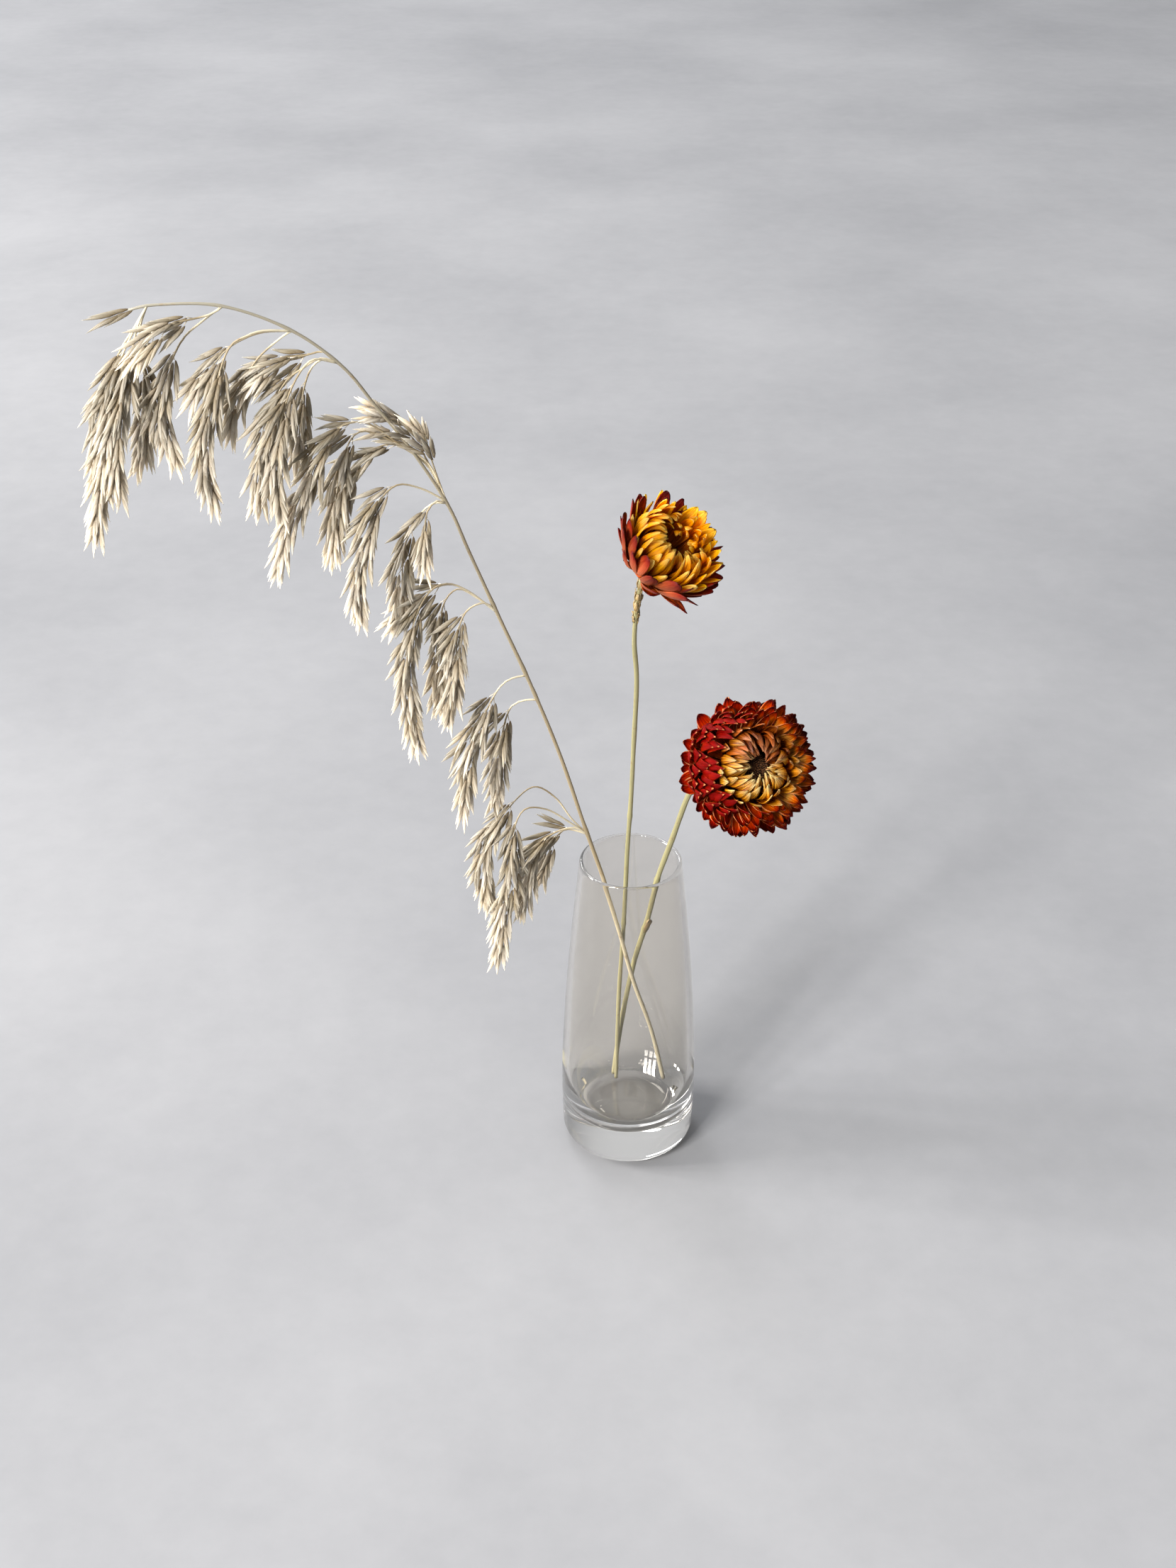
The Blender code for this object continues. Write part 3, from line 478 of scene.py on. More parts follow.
@functools.lru_cache(maxsize=None)
def spindle_pattern(rings, corners):
    """The faces of a closed loft through rings, with its root point next to last and its tip last."""
    root = rings * corners
    faces = []
    for ring in range(rings - 1):
        for corner in range(corners):
            low = ring * corners
            following = (corner + 1) % corners
            faces.append((low + corner, low + following, low + corners + following, low + corners + corner))
    last = (rings - 1) * corners
    for corner in range(corners):
        following = (corner + 1) % corners
        faces.append((following, corner, root))
        faces.append((last + corner, last + following, root + 1))
    return faces


def add_spindle(shapes, rings, root, tip, draw):
    """A closed loft from a root point through rings (ring, corner, xyz) to a tip point."""
    count, corners = rings.shape[:2]
    steps = (np.arange(count) + 0.5) / count
    along, across = np.meshgrid(steps, np.arange(corners) / corners, indexing="ij")
    places = np.stack([across, along], axis=2).reshape(-1, 2)
    places = np.concatenate([places, [[0.5, 0.0], [0.5, 1.0]]])
    points = np.concatenate([rings.reshape(-1, 3), [root], [tip]])
    shapes.add(points, spindle_pattern(count, corners), places, draw)


def millimetres(points):
    return [Vector(point) * MM for point in points]


def millimetre_pairs(profile):
    return [(radius * MM, height * MM) for radius, height in profile]


def smooth_route(points, spacing):
    """Points about this far apart on the smooth curve (Catmull-Rom) through the given points."""
    ends = [2 * points[0] - points[1], *points, 2 * points[-1] - points[-2]]
    route = []
    for before, start, end, after in zip(ends, ends[1:], ends[2:], ends[3:]):
        steps = max(1, round((end - start).length / spacing))
        for step in range(steps):
            t = step / steps
            square = (2 * before - 5 * start + 4 * end - after) * t**2
            cube = (3 * start - before - 3 * end + after) * t**3
            route.append(0.5 * (2 * start + (end - before) * t + square + cube))
    return [*route, points[-1].copy()]


def place_along(route, distance):
    """The point this far along a route, and the way the route runs there."""
    for start, end in zip(route, route[1:]):
        length = (end - start).length
        if distance <= length:
            return start + (end - start) * distance / length, (end - start).normalized()
        distance -= length
    return route[-1].copy(), (route[-1] - route[-2]).normalized()


def route_length(route):
    return sum((end - start).length for start, end in zip(route, route[1:]))


def route_rings(route, radius_at, corners, ribs=0, relief=0.0):
    """Rings of corners swept along a route without twist. radius_at gives the radius at a share of it."""
    places = np.array([tuple(point) for point in route])
    ways = np.gradient(places, axis=0)
    ways /= np.linalg.norm(ways, axis=1, keepdims=True)
    side = np.cross(ways[0], (0.3, 0.9, 0.1))
    angles = 2 * math.pi * np.arange(corners) / corners
    cosines, sines = np.cos(angles)[:, None], np.sin(angles)[:, None]
    rib = (1 + relief * np.cos(ribs * angles))[:, None]
    rings = []
    for index, (place, way) in enumerate(zip(places, ways)):
        side = side - way * side.dot(way)
        side /= np.linalg.norm(side)
        other = np.cross(way, side)
        radius = radius_at(index / (len(places) - 1)) * rib
        rings.append(place + cosines * radius * side + sines * radius * other)
    return np.array(rings), places[0], places[-1]


def add_tube(shapes, route, radius_at, corners, draw, ribs=0, relief=0.0):
    rings, root, tip = route_rings(route, radius_at, corners, ribs, relief)
    add_spindle(shapes, rings, root, tip, draw)


def add_turned(shapes, profile, sides, draw):
    """A closed solid of revolution about Z. The profile runs from the axis, down the outer side and back."""
    angles = 2 * math.pi * np.arange(sides) / sides
    round_about = np.stack([np.cos(angles), np.sin(angles), np.zeros(sides)], axis=1)
    rings = np.array([round_about * radius + [0, 0, height] for radius, height in profile[1:-1]])
    root = np.array([0, 0, profile[-1][1]])
    tip = np.array([0, 0, profile[0][1]])
    add_spindle(shapes, rings[::-1], root, tip, draw)


def add_object(name, data):
    made = bpy.data.objects.new(name, data)
    bpy.context.scene.collection.objects.link(made)
    return made


def put(shapes, name, looks, node):
    """Makes one piece of the collected shapes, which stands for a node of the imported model."""
    mesh = shapes.mesh(name)
    for look in looks:
        mesh.materials.append(look)
    piece = add_object(name, mesh)
    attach(piece, "root")
    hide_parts(node)


def moved(shapes, matrix):
    """Moves everything that has been collected by a matrix."""
    turn = np.array(matrix)
    shapes.points = [points @ turn[:3, :3].T + turn[:3, 3] for points in shapes.points]


class Look:
    """A material's node graph, with short ways to add nodes and to join them."""

    def __init__(self, name, roughness):
        self.material = bpy.data.materials.new(name)
        self.material.use_nodes = True
        self.tree = self.material.node_tree
        self.shader = self.tree.nodes["Principled BSDF"]
        self.output = self.tree.nodes["Material Output"]
        self.shader.inputs["Roughness"].default_value = roughness

    def join(self, source, target):
        self.tree.links.new(source, target)

    def node(self, kind, values=None, **settings):
        """A node with its settings, and its inputs given as a value or as another node's output."""
        made = self.tree.nodes.new(kind)
        for name, value in settings.items():
            setattr(made, name, value)
        for name, value in (values or {}).items():
            if isinstance(value, bpy.types.NodeSocket):
                self.join(value, made.inputs[name])
            else:
                made.inputs[name].default_value = value
        return made

    def axis(self, title):
        """The two outputs of a UV map, across and along."""
        split = self.node("ShaderNodeSeparateXYZ", {0: self.node("ShaderNodeUVMap", uv_map=title).outputs[0]})
        return split.outputs[0], split.outputs[1]

    def math(self, operation, *inputs):
        """A sum of outputs or plain numbers, by the name that Blender gives it."""
        return self.node("ShaderNodeMath", dict(enumerate(inputs)), operation=operation).outputs[0]

    def sum(self, first, factor, second=0.0, offset=0.0):
        """first * factor + second + offset, of outputs or plain numbers."""
        product = self.math("MULTIPLY_ADD", first, factor, second)
        return self.math("ADD", product, offset) if offset else product

    def vector(self, x, y, z):
        return self.node("ShaderNodeCombineXYZ", {0: x, 1: y, 2: z}).outputs[0]

    def noise(self, vector, scale, detail=2.0, roughness=0.5):
        values = {"Vector": vector, "Scale": scale, "Detail": detail, "Roughness": roughness}
        return self.node("ShaderNodeTexNoise", values).outputs[0]

    def ramp(self, factor, stops):
        """A colour ramp through stops: (place, red, green, blue)."""
        made = self.node("ShaderNodeValToRGB", {0: factor})
        elements = made.color_ramp.elements
        while len(elements) < len(stops):
            elements.new(0.5)
        for element, (place, *colour) in zip(elements, stops):
            element.position = place
            element.color = (*colour, 1)
        return made.outputs[0]

    def mask(self, factor, start, end):
        """Black up to one factor, and white from another."""
        return self.ramp(factor, [(start, *BLACK), (end, *WHITE)])

    def mix(self, factor, first, second, blend="MIX"):
        made = self.node("ShaderNodeMix", data_type="RGBA", blend_type=blend)
        for socket, value in ((made.inputs[0], factor), (made.inputs[6], first), (made.inputs[7], second)):
            if isinstance(value, bpy.types.NodeSocket):
                self.join(value, socket)
            elif isinstance(value, tuple):
                socket.default_value = (*value, 1)
            else:
                socket.default_value = value
        return made.outputs[2]

    def bump(self, height, distance, strength=1.0):
        made = self.node("ShaderNodeBump", {"Strength": strength, "Distance": distance, "Height": height})
        self.join(made.outputs[0], self.shader.inputs["Normal"])

    def colour(self, socket, saturation=1.0, value=1.0):
        """The shader's colour, with more or less saturation and value."""
        values = {"Color": socket, "Saturation": saturation, "Value": value}
        tinted = self.node("ShaderNodeHueSaturation", values).outputs[0]
        self.join(tinted, self.shader.inputs["Base Color"])
        return tinted

    def place(self):
        return self.node("ShaderNodeTexCoord").outputs["Object"]

    def blend_shaders(self, share, first, second):
        values = {0: share, 1: first, 2: second}
        self.join(self.node("ShaderNodeMixShader", values).outputs[0], self.output.inputs[0])

    def see_through(self, socket, share):
        """Lets this share of the light through the thin dry tissue, in its own colour."""
        glow = self.node("ShaderNodeBsdfTranslucent", {"Color": socket})
        self.blend_shaders(share, self.shader.outputs[0], glow.outputs[0])


def clear_glass():
    """Clear glass. Rays to lamps, off dull things and turned many times in its walls go straight on.

    For the first two it is darker, most of all in its thick base and on its lee side, so it casts a shadow.
    """
    look = Look("clear_glass", 0.0)
    look.shader.inputs["Base Color"].default_value = (*GLASS_TINT, 1)
    look.shader.inputs["Transmission Weight"].default_value = 1
    look.shader.inputs["IOR"].default_value = GLASS_INDEX
    x, _, height = look.node("ShaderNodeSeparateXYZ", {0: look.place()}).outputs
    stops = [(0.0, *WALL_SHADE), (0.02, *BASE_SHADE), (0.22, *BASE_SHADE), (0.245, *WALL_SHADE)]
    walls = look.ramp(look.sum(height, 1 / SHADE_REACH), stops)
    lee = look.ramp(look.sum(x, 1 / SHADE_REACH, 0.5), [(0.50, *WHITE), (0.74, *LEE_SHADE)])
    path = look.node("ShaderNodeLightPath").outputs
    dull = look.math("MAXIMUM", path["Is Shadow Ray"], path["Is Diffuse Ray"])
    deep = look.math("GREATER_THAN", path["Ray Depth"], DEEP_RAYS)
    tint = look.mix(dull, DEEP_TINT, look.mix(1.0, walls, lee, "MULTIPLY"))
    passing = look.node("ShaderNodeBsdfTransparent", {"Color": tint})
    look.blend_shaders(look.math("MAXIMUM", dull, deep), look.shader.outputs[0], passing.outputs[0])
    return look.material


def bract_look(name, streak, roughness, glow, streaking=0.6, other=None, edge=None, gloss=0.25):
    """Papery bract: its ramp from root to tip, darker streaks, fine fibres and, if given, painted edge
    highlights.

    With another ramp, a bract lies between the two as its second draw says.
    """
    look = Look(name, roughness)
    across, along = look.axis("place")
    first, second = look.axis("draw")
    wander = look.noise(look.vector(look.sum(across, 3.0, first), look.sum(along, 2.0, second), first), 3.0)
    shifted = look.sum(wander, 0.24, along, -0.12)
    base = look.ramp(shifted, RAMPS[name])
    if other:
        base = look.mix(second, base, look.ramp(shifted, RAMPS[other]))
    seed = look.sum(first, 40.0, second)
    lines = look.vector(look.sum(across, 15.0, seed), look.sum(along, 0.8, second), first)
    broad = look.noise(lines, 1.3, 3.0, 0.6)
    streaks = look.sum(look.mask(broad, 0.42, 0.60), streaking)
    streaked = look.mix(streaks, base, streak, "MULTIPLY")
    # A pale edge colour, if given, is a painted highlight along the rims, fading out before the tip
    if edge:
        rim = look.math("ABSOLUTE", look.sum(across, 2.0, -1.0))
        painted_edge_highlight = look.mask(look.sum(wander, 0.3, rim, -0.15), 0.84, 0.97)
        fading = look.ramp(along, [(0.60, 0.8, 0.8, 0.8), (0.78, *BLACK)])
        streaked = look.mix(look.sum(painted_edge_highlight, fading), streaked, edge)
    fibre = look.noise(look.vector(look.sum(across, 36.0, seed), look.sum(along, 1.5), second), 1.0)
    tinted = look.colour(streaked, 1.05, look.sum(first, 0.44, look.sum(fibre, 0.5, 0.58)))
    look.bump(look.sum(broad, 0.6, fibre), 0.16 * MM, 0.8)
    look.shader.inputs["Specular IOR Level"].default_value = gloss
    look.see_through(tinted, glow)
    return look.material


def disc_look(name, low, high):
    look = Look(name, 0.8)
    _, along = look.axis("place")
    first, _ = look.axis("draw")
    shade = look.ramp(along, [(0.0, *low), (0.55, *low), (1.0, *high)])
    look.colour(shade, 1.0, look.sum(first, 0.8, 0.6))
    return look.material


def stem_look(name, dark):
    """Dry ribbed stem: its ramp from foot to top, with long fibres and small brown flecks."""
    look = Look(name, 0.55)
    across, along = look.axis("place")
    first, _ = look.axis("draw")
    base = look.ramp(along, RAMPS[name])
    fine = look.vector(look.sum(across, 26.0, look.sum(first, 9.0)), look.sum(along, 9.0), first)
    fibre = look.noise(fine, 1.0, 3.0, 0.6)
    flecks = look.mask(look.noise(look.place(), 420.0, 3.0, 0.6), 0.60, 0.74)
    look.colour(look.mix(look.sum(flecks, 0.55), base, dark), 1.0, look.sum(fibre, 0.7, 0.65))
    look.bump(fibre, 0.10 * MM, 0.8)
    return look.material


def grass_look(name, glow):
    """Dry husk: its ramp from a brownish root to a cream tip, with pale veins and a tone that is partly
    painted shade.
    """
    look = Look(name, 0.5)
    across, along = look.axis("place")
    first, second = look.axis("draw")
    lines = look.vector(look.sum(across, 16.0, look.sum(first, 30.0)), along, second)
    veins = look.noise(lines, 1.0, 2.0)
    saturation = look.sum(first, -0.5, look.sum(second, 0.3, 1.15))
    value = look.sum(first, 0.75, look.sum(veins, 0.6, 0.36))
    tinted = look.colour(look.ramp(along, RAMPS[name]), saturation, value)
    look.bump(veins, 0.08 * MM, 0.7)
    look.see_through(tinted, glow)
    return look.material


def floor_look():
    look = Look("pale_floor", 0.7)
    where = look.place()
    clouds = look.noise(where, 3.2, 4.0, 0.55)
    grain = look.noise(where, 70.0, 4.0, 0.65)
    mottled = look.sum(grain, 0.22, clouds, -0.11)
    look.colour(look.ramp(mottled, [(0.30, 0.194, 0.197, 0.207), (0.70, 0.252, 0.254, 0.264)]))
    look.shader.inputs["Specular IOR Level"].default_value = 0.15
    return look.material


def outer_radius(height):
    """The vase's outer radius above its heel."""
    if height < VASE_FULL_HEIGHT:
        share = (height - VASE_HEEL_RADIUS) / (VASE_FULL_HEIGHT - VASE_HEEL_RADIUS)
        swell = math.sin(math.pi / 2 * share)
        return VASE_LOW_RADIUS + (VASE_FULL_RADIUS - VASE_LOW_RADIUS) * swell
    share = (height - VASE_FULL_HEIGHT) / (VASE_HEIGHT - VASE_FULL_HEIGHT)
    return VASE_FULL_RADIUS - (VASE_FULL_RADIUS - VASE_MOUTH_RADIUS) * share**VASE_TAPER_POWER


def wall(height):
    share = height / VASE_HEIGHT
    return VASE_LOW_WALL + (VASE_LIP_WALL - VASE_LOW_WALL) * share


def arc(centre, radius, start, end, steps):
    """Points of an arc in the (radius, height) plane, from one angle in degrees to another."""
    angles = [math.radians(start + (end - start) * step / steps) for step in range(steps + 1)]
    return [(centre[0] + radius * math.cos(a), centre[1] + radius * math.sin(a)) for a in angles]


def build_vase():
    heel = arc((VASE_LOW_RADIUS - VASE_HEEL_RADIUS, VASE_HEEL_RADIUS), VASE_HEEL_RADIUS, 0, -90, 16)
    lip_radius = VASE_LIP_WALL / 2
    lip_height = VASE_HEIGHT - lip_radius
    lip = arc((outer_radius(lip_height) - lip_radius, lip_height), lip_radius, 180, 0, 16)
    shoulder = VASE_FLOOR_HEIGHT + VASE_FLOOR_RISE
    spread = outer_radius(shoulder) - wall(shoulder) - VASE_FLOOR_FLAT
    power = 2 / VASE_FLOOR_SQUARENESS
    floor = []
    for turn in np.linspace(0, math.pi / 2, 25):
        out = VASE_FLOOR_FLAT + spread * math.sin(turn) ** power
        floor.append((out, shoulder - VASE_FLOOR_RISE * max(0.0, math.cos(turn)) ** power))
    rises = 40
    levels = [shoulder + (lip_height - shoulder) * step / rises for step in range(1, rises)]
    inner_wall = [(outer_radius(level) - wall(level), level) for level in levels]
    drops = [lip_height + (VASE_HEEL_RADIUS - lip_height) * step / rises for step in range(1, rises)]
    outer_wall = [(outer_radius(level), level) for level in drops]
    flat_floor = [(floor[0][0] * share / 5, VASE_FLOOR_HEIGHT) for share in range(5)]
    foot = [(heel[-1][0] * share / 5, 0) for share in range(4, -1, -1)]
    profile = [*flat_floor, *floor, *inner_wall, *lip, *outer_wall, *heel, *foot]
    shapes = Shapes()
    add_turned(shapes, profile, VASE_SIDES, (0, 0))
    put(shapes, "clear_vase", [clear_glass()], "vase")


def bloom_frame(neck_mm, facing):
    """The matrix that sets a flower, modelled upright on its neck, where it is and facing its way."""
    turn = Vector(facing).to_track_quat("Z", "Y")
    return Matrix.Translation(Vector(neck_mm) * MM) @ turn.to_matrix().to_4x4()


def bract_width(along, blunt):
    """The share of a bract's greatest width along it: from a waisted root to full, and on to its tip."""
    rise = np.clip(along / 0.45, 0, 1)
    body = 0.34 + 0.66 * rise * rise * (3 - 2 * rise)
    start = 0.42 + 0.42 * blunt
    close = np.clip((along - start) / (1 - start), 0, 1)
    return body * (1 - close ** (1.6 + 0.6 * blunt)) ** (0.9 - 0.4 * blunt) + 0.012


def add_bract(shapes, line, angle, width, cup, curl, blunt, tone, draw):
    """One papery bract: a cupped, fluted blade on an arched line in the plane of its angle."""
    along = np.sin(np.linspace(0, math.pi / 2, BRACT_STEPS))[:, None]
    across = np.linspace(-1, 1, BRACT_COLUMNS)[None, :]
    root, bend, tip = (np.array(point) for point in line)
    middle = root * (1 - along) ** 2 + bend * 2 * along * (1 - along) + tip * along**2
    way = (bend - root) * (1 - along) + (tip - bend) * along
    way /= np.linalg.norm(way, axis=1, keepdims=True)
    inward = np.stack([-way[:, 1], way[:, 0]], axis=1)
    share = bract_width(along, blunt)
    phase = draw.uniform(0, 6.3)
    ruffle = 0.28 * np.sin(6 * along + phase) * across**3
    flutes = 0.09 * np.cos(2.5 * math.pi * across + draw.uniform(-0.6, 0.6))
    twist = draw.uniform(-1.1, 1.1) * across * along
    curled = curl * np.clip((along - 0.6) / 0.4, 0, 1) ** 2
    lift = (cup * across**2 + flutes + ruffle + twist) * share - curled
    sideways = across * width / 2 * share + draw.uniform(-1.6, 1.6) * along**2
    teeth = 0.34 * np.sin(across * 9 + phase) * np.clip((along - 0.8) / 0.2, 0, 1)
    radius = middle[:, :1] + inward[:, :1] * lift + way[:, :1] * teeth
    height = middle[:, 1:] + inward[:, 1:] * lift + way[:, 1:] * teeth
    turn_cos, turn_sin = math.cos(angle), math.sin(angle)
    x = radius * turn_cos - sideways * turn_sin
    y = radius * turn_sin + sideways * turn_cos
    grid = np.stack([x, y, height], axis=2)
    add_blade(shapes, grid[:, ::-1] * MM, BRACT_THICKNESS, tone)


def add_rows(shapes, rows, draw, shape_tip):
    """Rows of bracts about the axis. shape_tip may move a bract's bend and tip by its angle and its row."""
    for row, (count, root, bend, tip, width, cup, curl, blunt) in enumerate(rows):
        for index in range(count):
            turn = (index + 0.5 * (row % 2) + 0.31 * row + draw.uniform(-0.3, 0.3)) / count
            angle = 2 * math.pi * turn
            reach = draw.uniform(-1.0, 0.4)
            own_bend = (bend[0], bend[1] + draw.uniform(-0.6, 0.6))
            own_tip = (tip[0] + 0.7 * reach, tip[1] + reach)
            tone = (draw.random(), (row + draw.random()) / len(rows))
            slim = 1.0
            if shape_tip:
                share = row / (len(rows) - 1)
                own_bend, own_tip, tone, slim = shape_tip(angle, share, own_bend, own_tip, tone)
            size = width * draw.uniform(0.76, 1.14)
            own_curl = curl + draw.uniform(-0.8, 0.6)
            line = (root, own_bend, own_tip)
            add_bract(shapes, line, angle, size, cup * slim, own_curl, blunt * slim, tone, draw)


def ease(value):
    """Rises smoothly from 0 to 1 as the value does."""
    value = min(1.0, max(0.0, value))
    return value * value * (3 - 2 * value)


def blend(first, second, share):
    return tuple(one + (other - one) * share for one, other in zip(first, second))


def shape_lower_bract(angle, share, bend, tip, tone):
    """Notches the lower flower's outline, and closes its inner rows of outer bracts on one side."""
    degrees = math.degrees(angle)
    notch = 0
    for place, depth in LOWER_NOTCHES:
        away = (degrees - place + 180) % 360 - 180
        notch += depth * math.exp(-((away / NOTCH_HALF_WIDTH) ** 2))
    away = abs((degrees - CLOSED_SIDE + 180) % 360 - 180)
    closed = ease((CLOSED_HALF_WIDTH - away) / CLOSED_FADE) * ease(share / 0.3 - 0.2)
    bronze = (0.5 + 0.5 * math.cos(math.radians(degrees - BRONZE_SIDE))) ** BRONZE_FOCUS
    dome_bend = (25 - 4 * share, 1 + 6 * share)
    dome_tip = (22.4 - 9.6 * share + 2 * (tone[0] - 0.5), 7 + 12.5 * share)
    bend = blend(bend, dome_bend, closed)
    tip = blend((tip[0] - notch, tip[1]), dome_tip, closed)
    bronze = min(1.0, max(0.0, bronze + 0.24 * (tone[0] - 0.5)))
    return bend, tip, (tone[0], bronze), 1 - 0.45 * closed


def open_far_bract(angle, share, bend, tip, tone):
    """Stands the upper flower's inner bracts more open on the side away from the viewer."""
    far = ease(0.35 + 0.75 * math.cos(angle))
    return bend, (tip[0] + (3.8 - 1.6 * share) * far, tip[1] - 0.4 * far), tone, 1.0


def shade_ring_bract(angle, _, bend, tip, tone):
    """Paints shade on the lower flower's inner bracts: the upper side of their ring is painted brown as
    shade.
    """
    shady = ease(0.3 + 0.8 * math.cos(angle - math.radians(SHADY_SIDE)) + 0.5 * (tone[0] - 0.5))
    return bend, tip, (tone[0], shady), 1.0


def add_edge_bracts(shapes, bracts, draw):
    for degrees, radius, height, width, blunt in bracts:
        line = ((4.4, 3.0), (0.62 * radius, 0.24 * height + 0.6), (radius, height))
        tone = (draw.random(), draw.random())
        add_bract(shapes, line, math.radians(degrees), width, 0.6, 0.2, blunt, tone, draw)


def build_bracts(name, looks, frame, core, rows, seed, singles=(), shape_tip=None):
    """A flower's outer or inner bracts on their turned core: the single ones, and then the rows."""
    draw = random.Random(seed)
    shapes = Shapes()
    add_turned(shapes, millimetre_pairs(core), CORE_SIDES, (0.5, 0.5))
    add_edge_bracts(shapes, singles, draw)
    add_rows(shapes, rows, draw, shape_tip)
    moved(shapes, frame)
    put(shapes, name, looks, f"bloom_{name}")


def build_disc(name, node, look, frame, sizes, seed):
    """The flower's centre: a low dome packed with small pointed florets in their spiral."""
    draw = random.Random(seed)
    seat, radius, crown = (size * MM for size in sizes)
    shapes = Shapes()
    base = 0.72 * crown
    edge = radius * 0.94
    dome = [(edge * math.sin(turn), seat + base * math.cos(turn)) for turn in np.linspace(0, 1.5, 9)]
    add_turned(shapes, [*dome, (edge, seat), (0, seat)], CORE_SIDES, (0.2, 0.2))
    for index in range(FLORETS):
        out = math.sqrt((index + 0.5) / FLORETS)
        angle = GOLDEN_ANGLE * index
        side = np.array([math.cos(angle), math.sin(angle), 0.0])
        root = side * radius * out * 0.92 + [0, 0, seat + base * 0.55 * math.sqrt(1 - 0.8 * out**2)]
        way = side * (0.15 + 0.35 * out) + [0, 0, 1.0]
        way /= np.linalg.norm(way)
        size = (crown + seat - root[2]) * draw.uniform(0.82, 1.0)
        line = [Vector(root + way * size * share) for share in (0.0, 0.5, 0.9)]
        rings, foot, _ = route_rings(line, lambda share: FLORET_RADIUS * (1 - 0.25 * share), 6)
        add_spindle(shapes, rings, foot, root + way * size, (draw.random(), out))
    moved(shapes, frame)
    put(shapes, name, [look], node)


def stem_radius(base, knots, seed):
    """A stem's radius along it: slight waves, and small swellings at its knots."""
    draw = random.Random(seed)
    phases = [draw.uniform(0, 6.3) for _ in range(3)]

    def radius(share):
        waves = sum(math.sin(share * rate + phase) for rate, phase in zip((21, 47, 90), phases))
        swelling = sum(math.exp(-(((share - knot) / 0.006) ** 2)) for knot in knots)
        return base * (1 + 0.025 * waves + 0.22 * swelling)

    return radius


def add_scale(shapes, place, along, outward, length, width, curl, draw):
    """A dry papery scale on a stem: a narrow crinkled blade whose tip lifts away, with the second look."""
    across = along.cross(outward).normalized()
    grid = []
    for step in range(SCALE_STEPS):
        share = step / (SCALE_STEPS - 1)
        crinkle = 0.12 * math.sin(share * 11 + draw[0] * 6)
        middle = place + along * length * share + outward * (curl * share**2 + crinkle * MM)
        reach = width / 2 * math.sin(math.pi * (0.12 + 0.83 * share)) ** 0.7
        for side in (-1, -0.4, 0.4, 1):
            grid.append(tuple(middle + across * reach * side + outward * 0.2 * MM * (side * side)))
    add_blade(shapes, np.array(grid).reshape(SCALE_STEPS, -1, 3), SCALE_THICKNESS, draw, 1)


def start_stem(route_mm, radius, knots, tone, seed):
    """A ribbed stem with its knots, and the smooth route that it follows."""
    route = smooth_route(millimetres(route_mm), STEM_STEP)
    shapes = Shapes()
    radius_at = stem_radius(radius * 0.96, knots, seed)
    add_tube(shapes, route, radius_at, STEM_SIDES, tone, STEM_RIBS, STEM_RELIEF)
    return shapes, route


def build_upper_stem(looks):
    draw = random.Random(21)
    shapes, route = start_stem(UPPER_STEM_ROUTE_MM, UPPER_STEM_RADIUS, (0.36, 0.58), (0.3, 0.3), seed=5)
    length = route_length(route)
    for index in range(HEAD_SCALES):
        place, along = place_along(route, length - (1.2 + 0.68 * index + draw.uniform(0, 1.6)) * MM)
        sideways = along.cross(UP + Vector((0.3, 0, 0))).normalized()
        outward = Matrix.Rotation(GOLDEN_ANGLE * index + draw.uniform(-0.4, 0.4), 3, along) @ sideways
        start = place - along * draw.uniform(1.5, 3.5) * MM + outward * UPPER_STEM_RADIUS * 0.85
        size = draw.uniform(2.6, 4.6) * MM
        tone = (draw.random(), draw.random())
        width = draw.uniform(0.9, 1.7) * MM
        add_scale(shapes, start, along, outward, size, width, draw.uniform(0.1, 0.8) * MM, tone)
    put(shapes, "upper_stem", looks, "stem_upper")


def build_lower_stem(looks):
    draw = random.Random(22)
    shapes, _ = start_stem(LOWER_STEM_ROUTE_MM, LOWER_STEM_RADIUS, (0.475, 0.62), (0.6, 0.6), seed=6)
    across = BUD_AXIS.cross(Vector((0, 1, 0))).normalized()
    for index in range(BUD_SCALES):
        outward = Matrix.Rotation(GOLDEN_ANGLE * index, 3, BUD_AXIS) @ across
        start = Vector(BUD_PLACE_MM) * MM - BUD_AXIS * BUD_LENGTH * 0.5 + outward * BUD_RADIUS * 0.45
        size = BUD_LENGTH * draw.uniform(0.75, 1.02)
        curl = draw.uniform(-0.5, 0.1) * MM
        add_scale(shapes, start, BUD_AXIS, outward, size, BUD_SCALE_WIDTH, curl, (draw.random(), 0.5))
    put(shapes, "lower_stem", looks, "stem_lower")


def add_lemma(shapes, root, along, across, deep, length, bend, draw):
    """One pointed husk of a spikelet: a slim keeled boat that bends out towards its tip."""
    shares = np.array([0.04, 0.22, 0.48, 0.72, 0.9])[:, None, None]
    widths = np.array([0.5, 1.0, 0.95, 0.58, 0.20])[:, None, None]
    angles = 2 * math.pi * np.arange(6) / 6
    side = (np.cos(angles) * 0.60 * MM)[None, :, None]
    thick = (np.sin(angles) * 0.38 * MM)[None, :, None]
    centre = root + along * length * shares + across * bend * shares**2
    rings = centre + (across * side + deep * thick) * widths
    tip = root + along * length + across * bend * 1.1
    add_spindle(shapes, rings, root - along * 0.2 * MM, tip, draw)


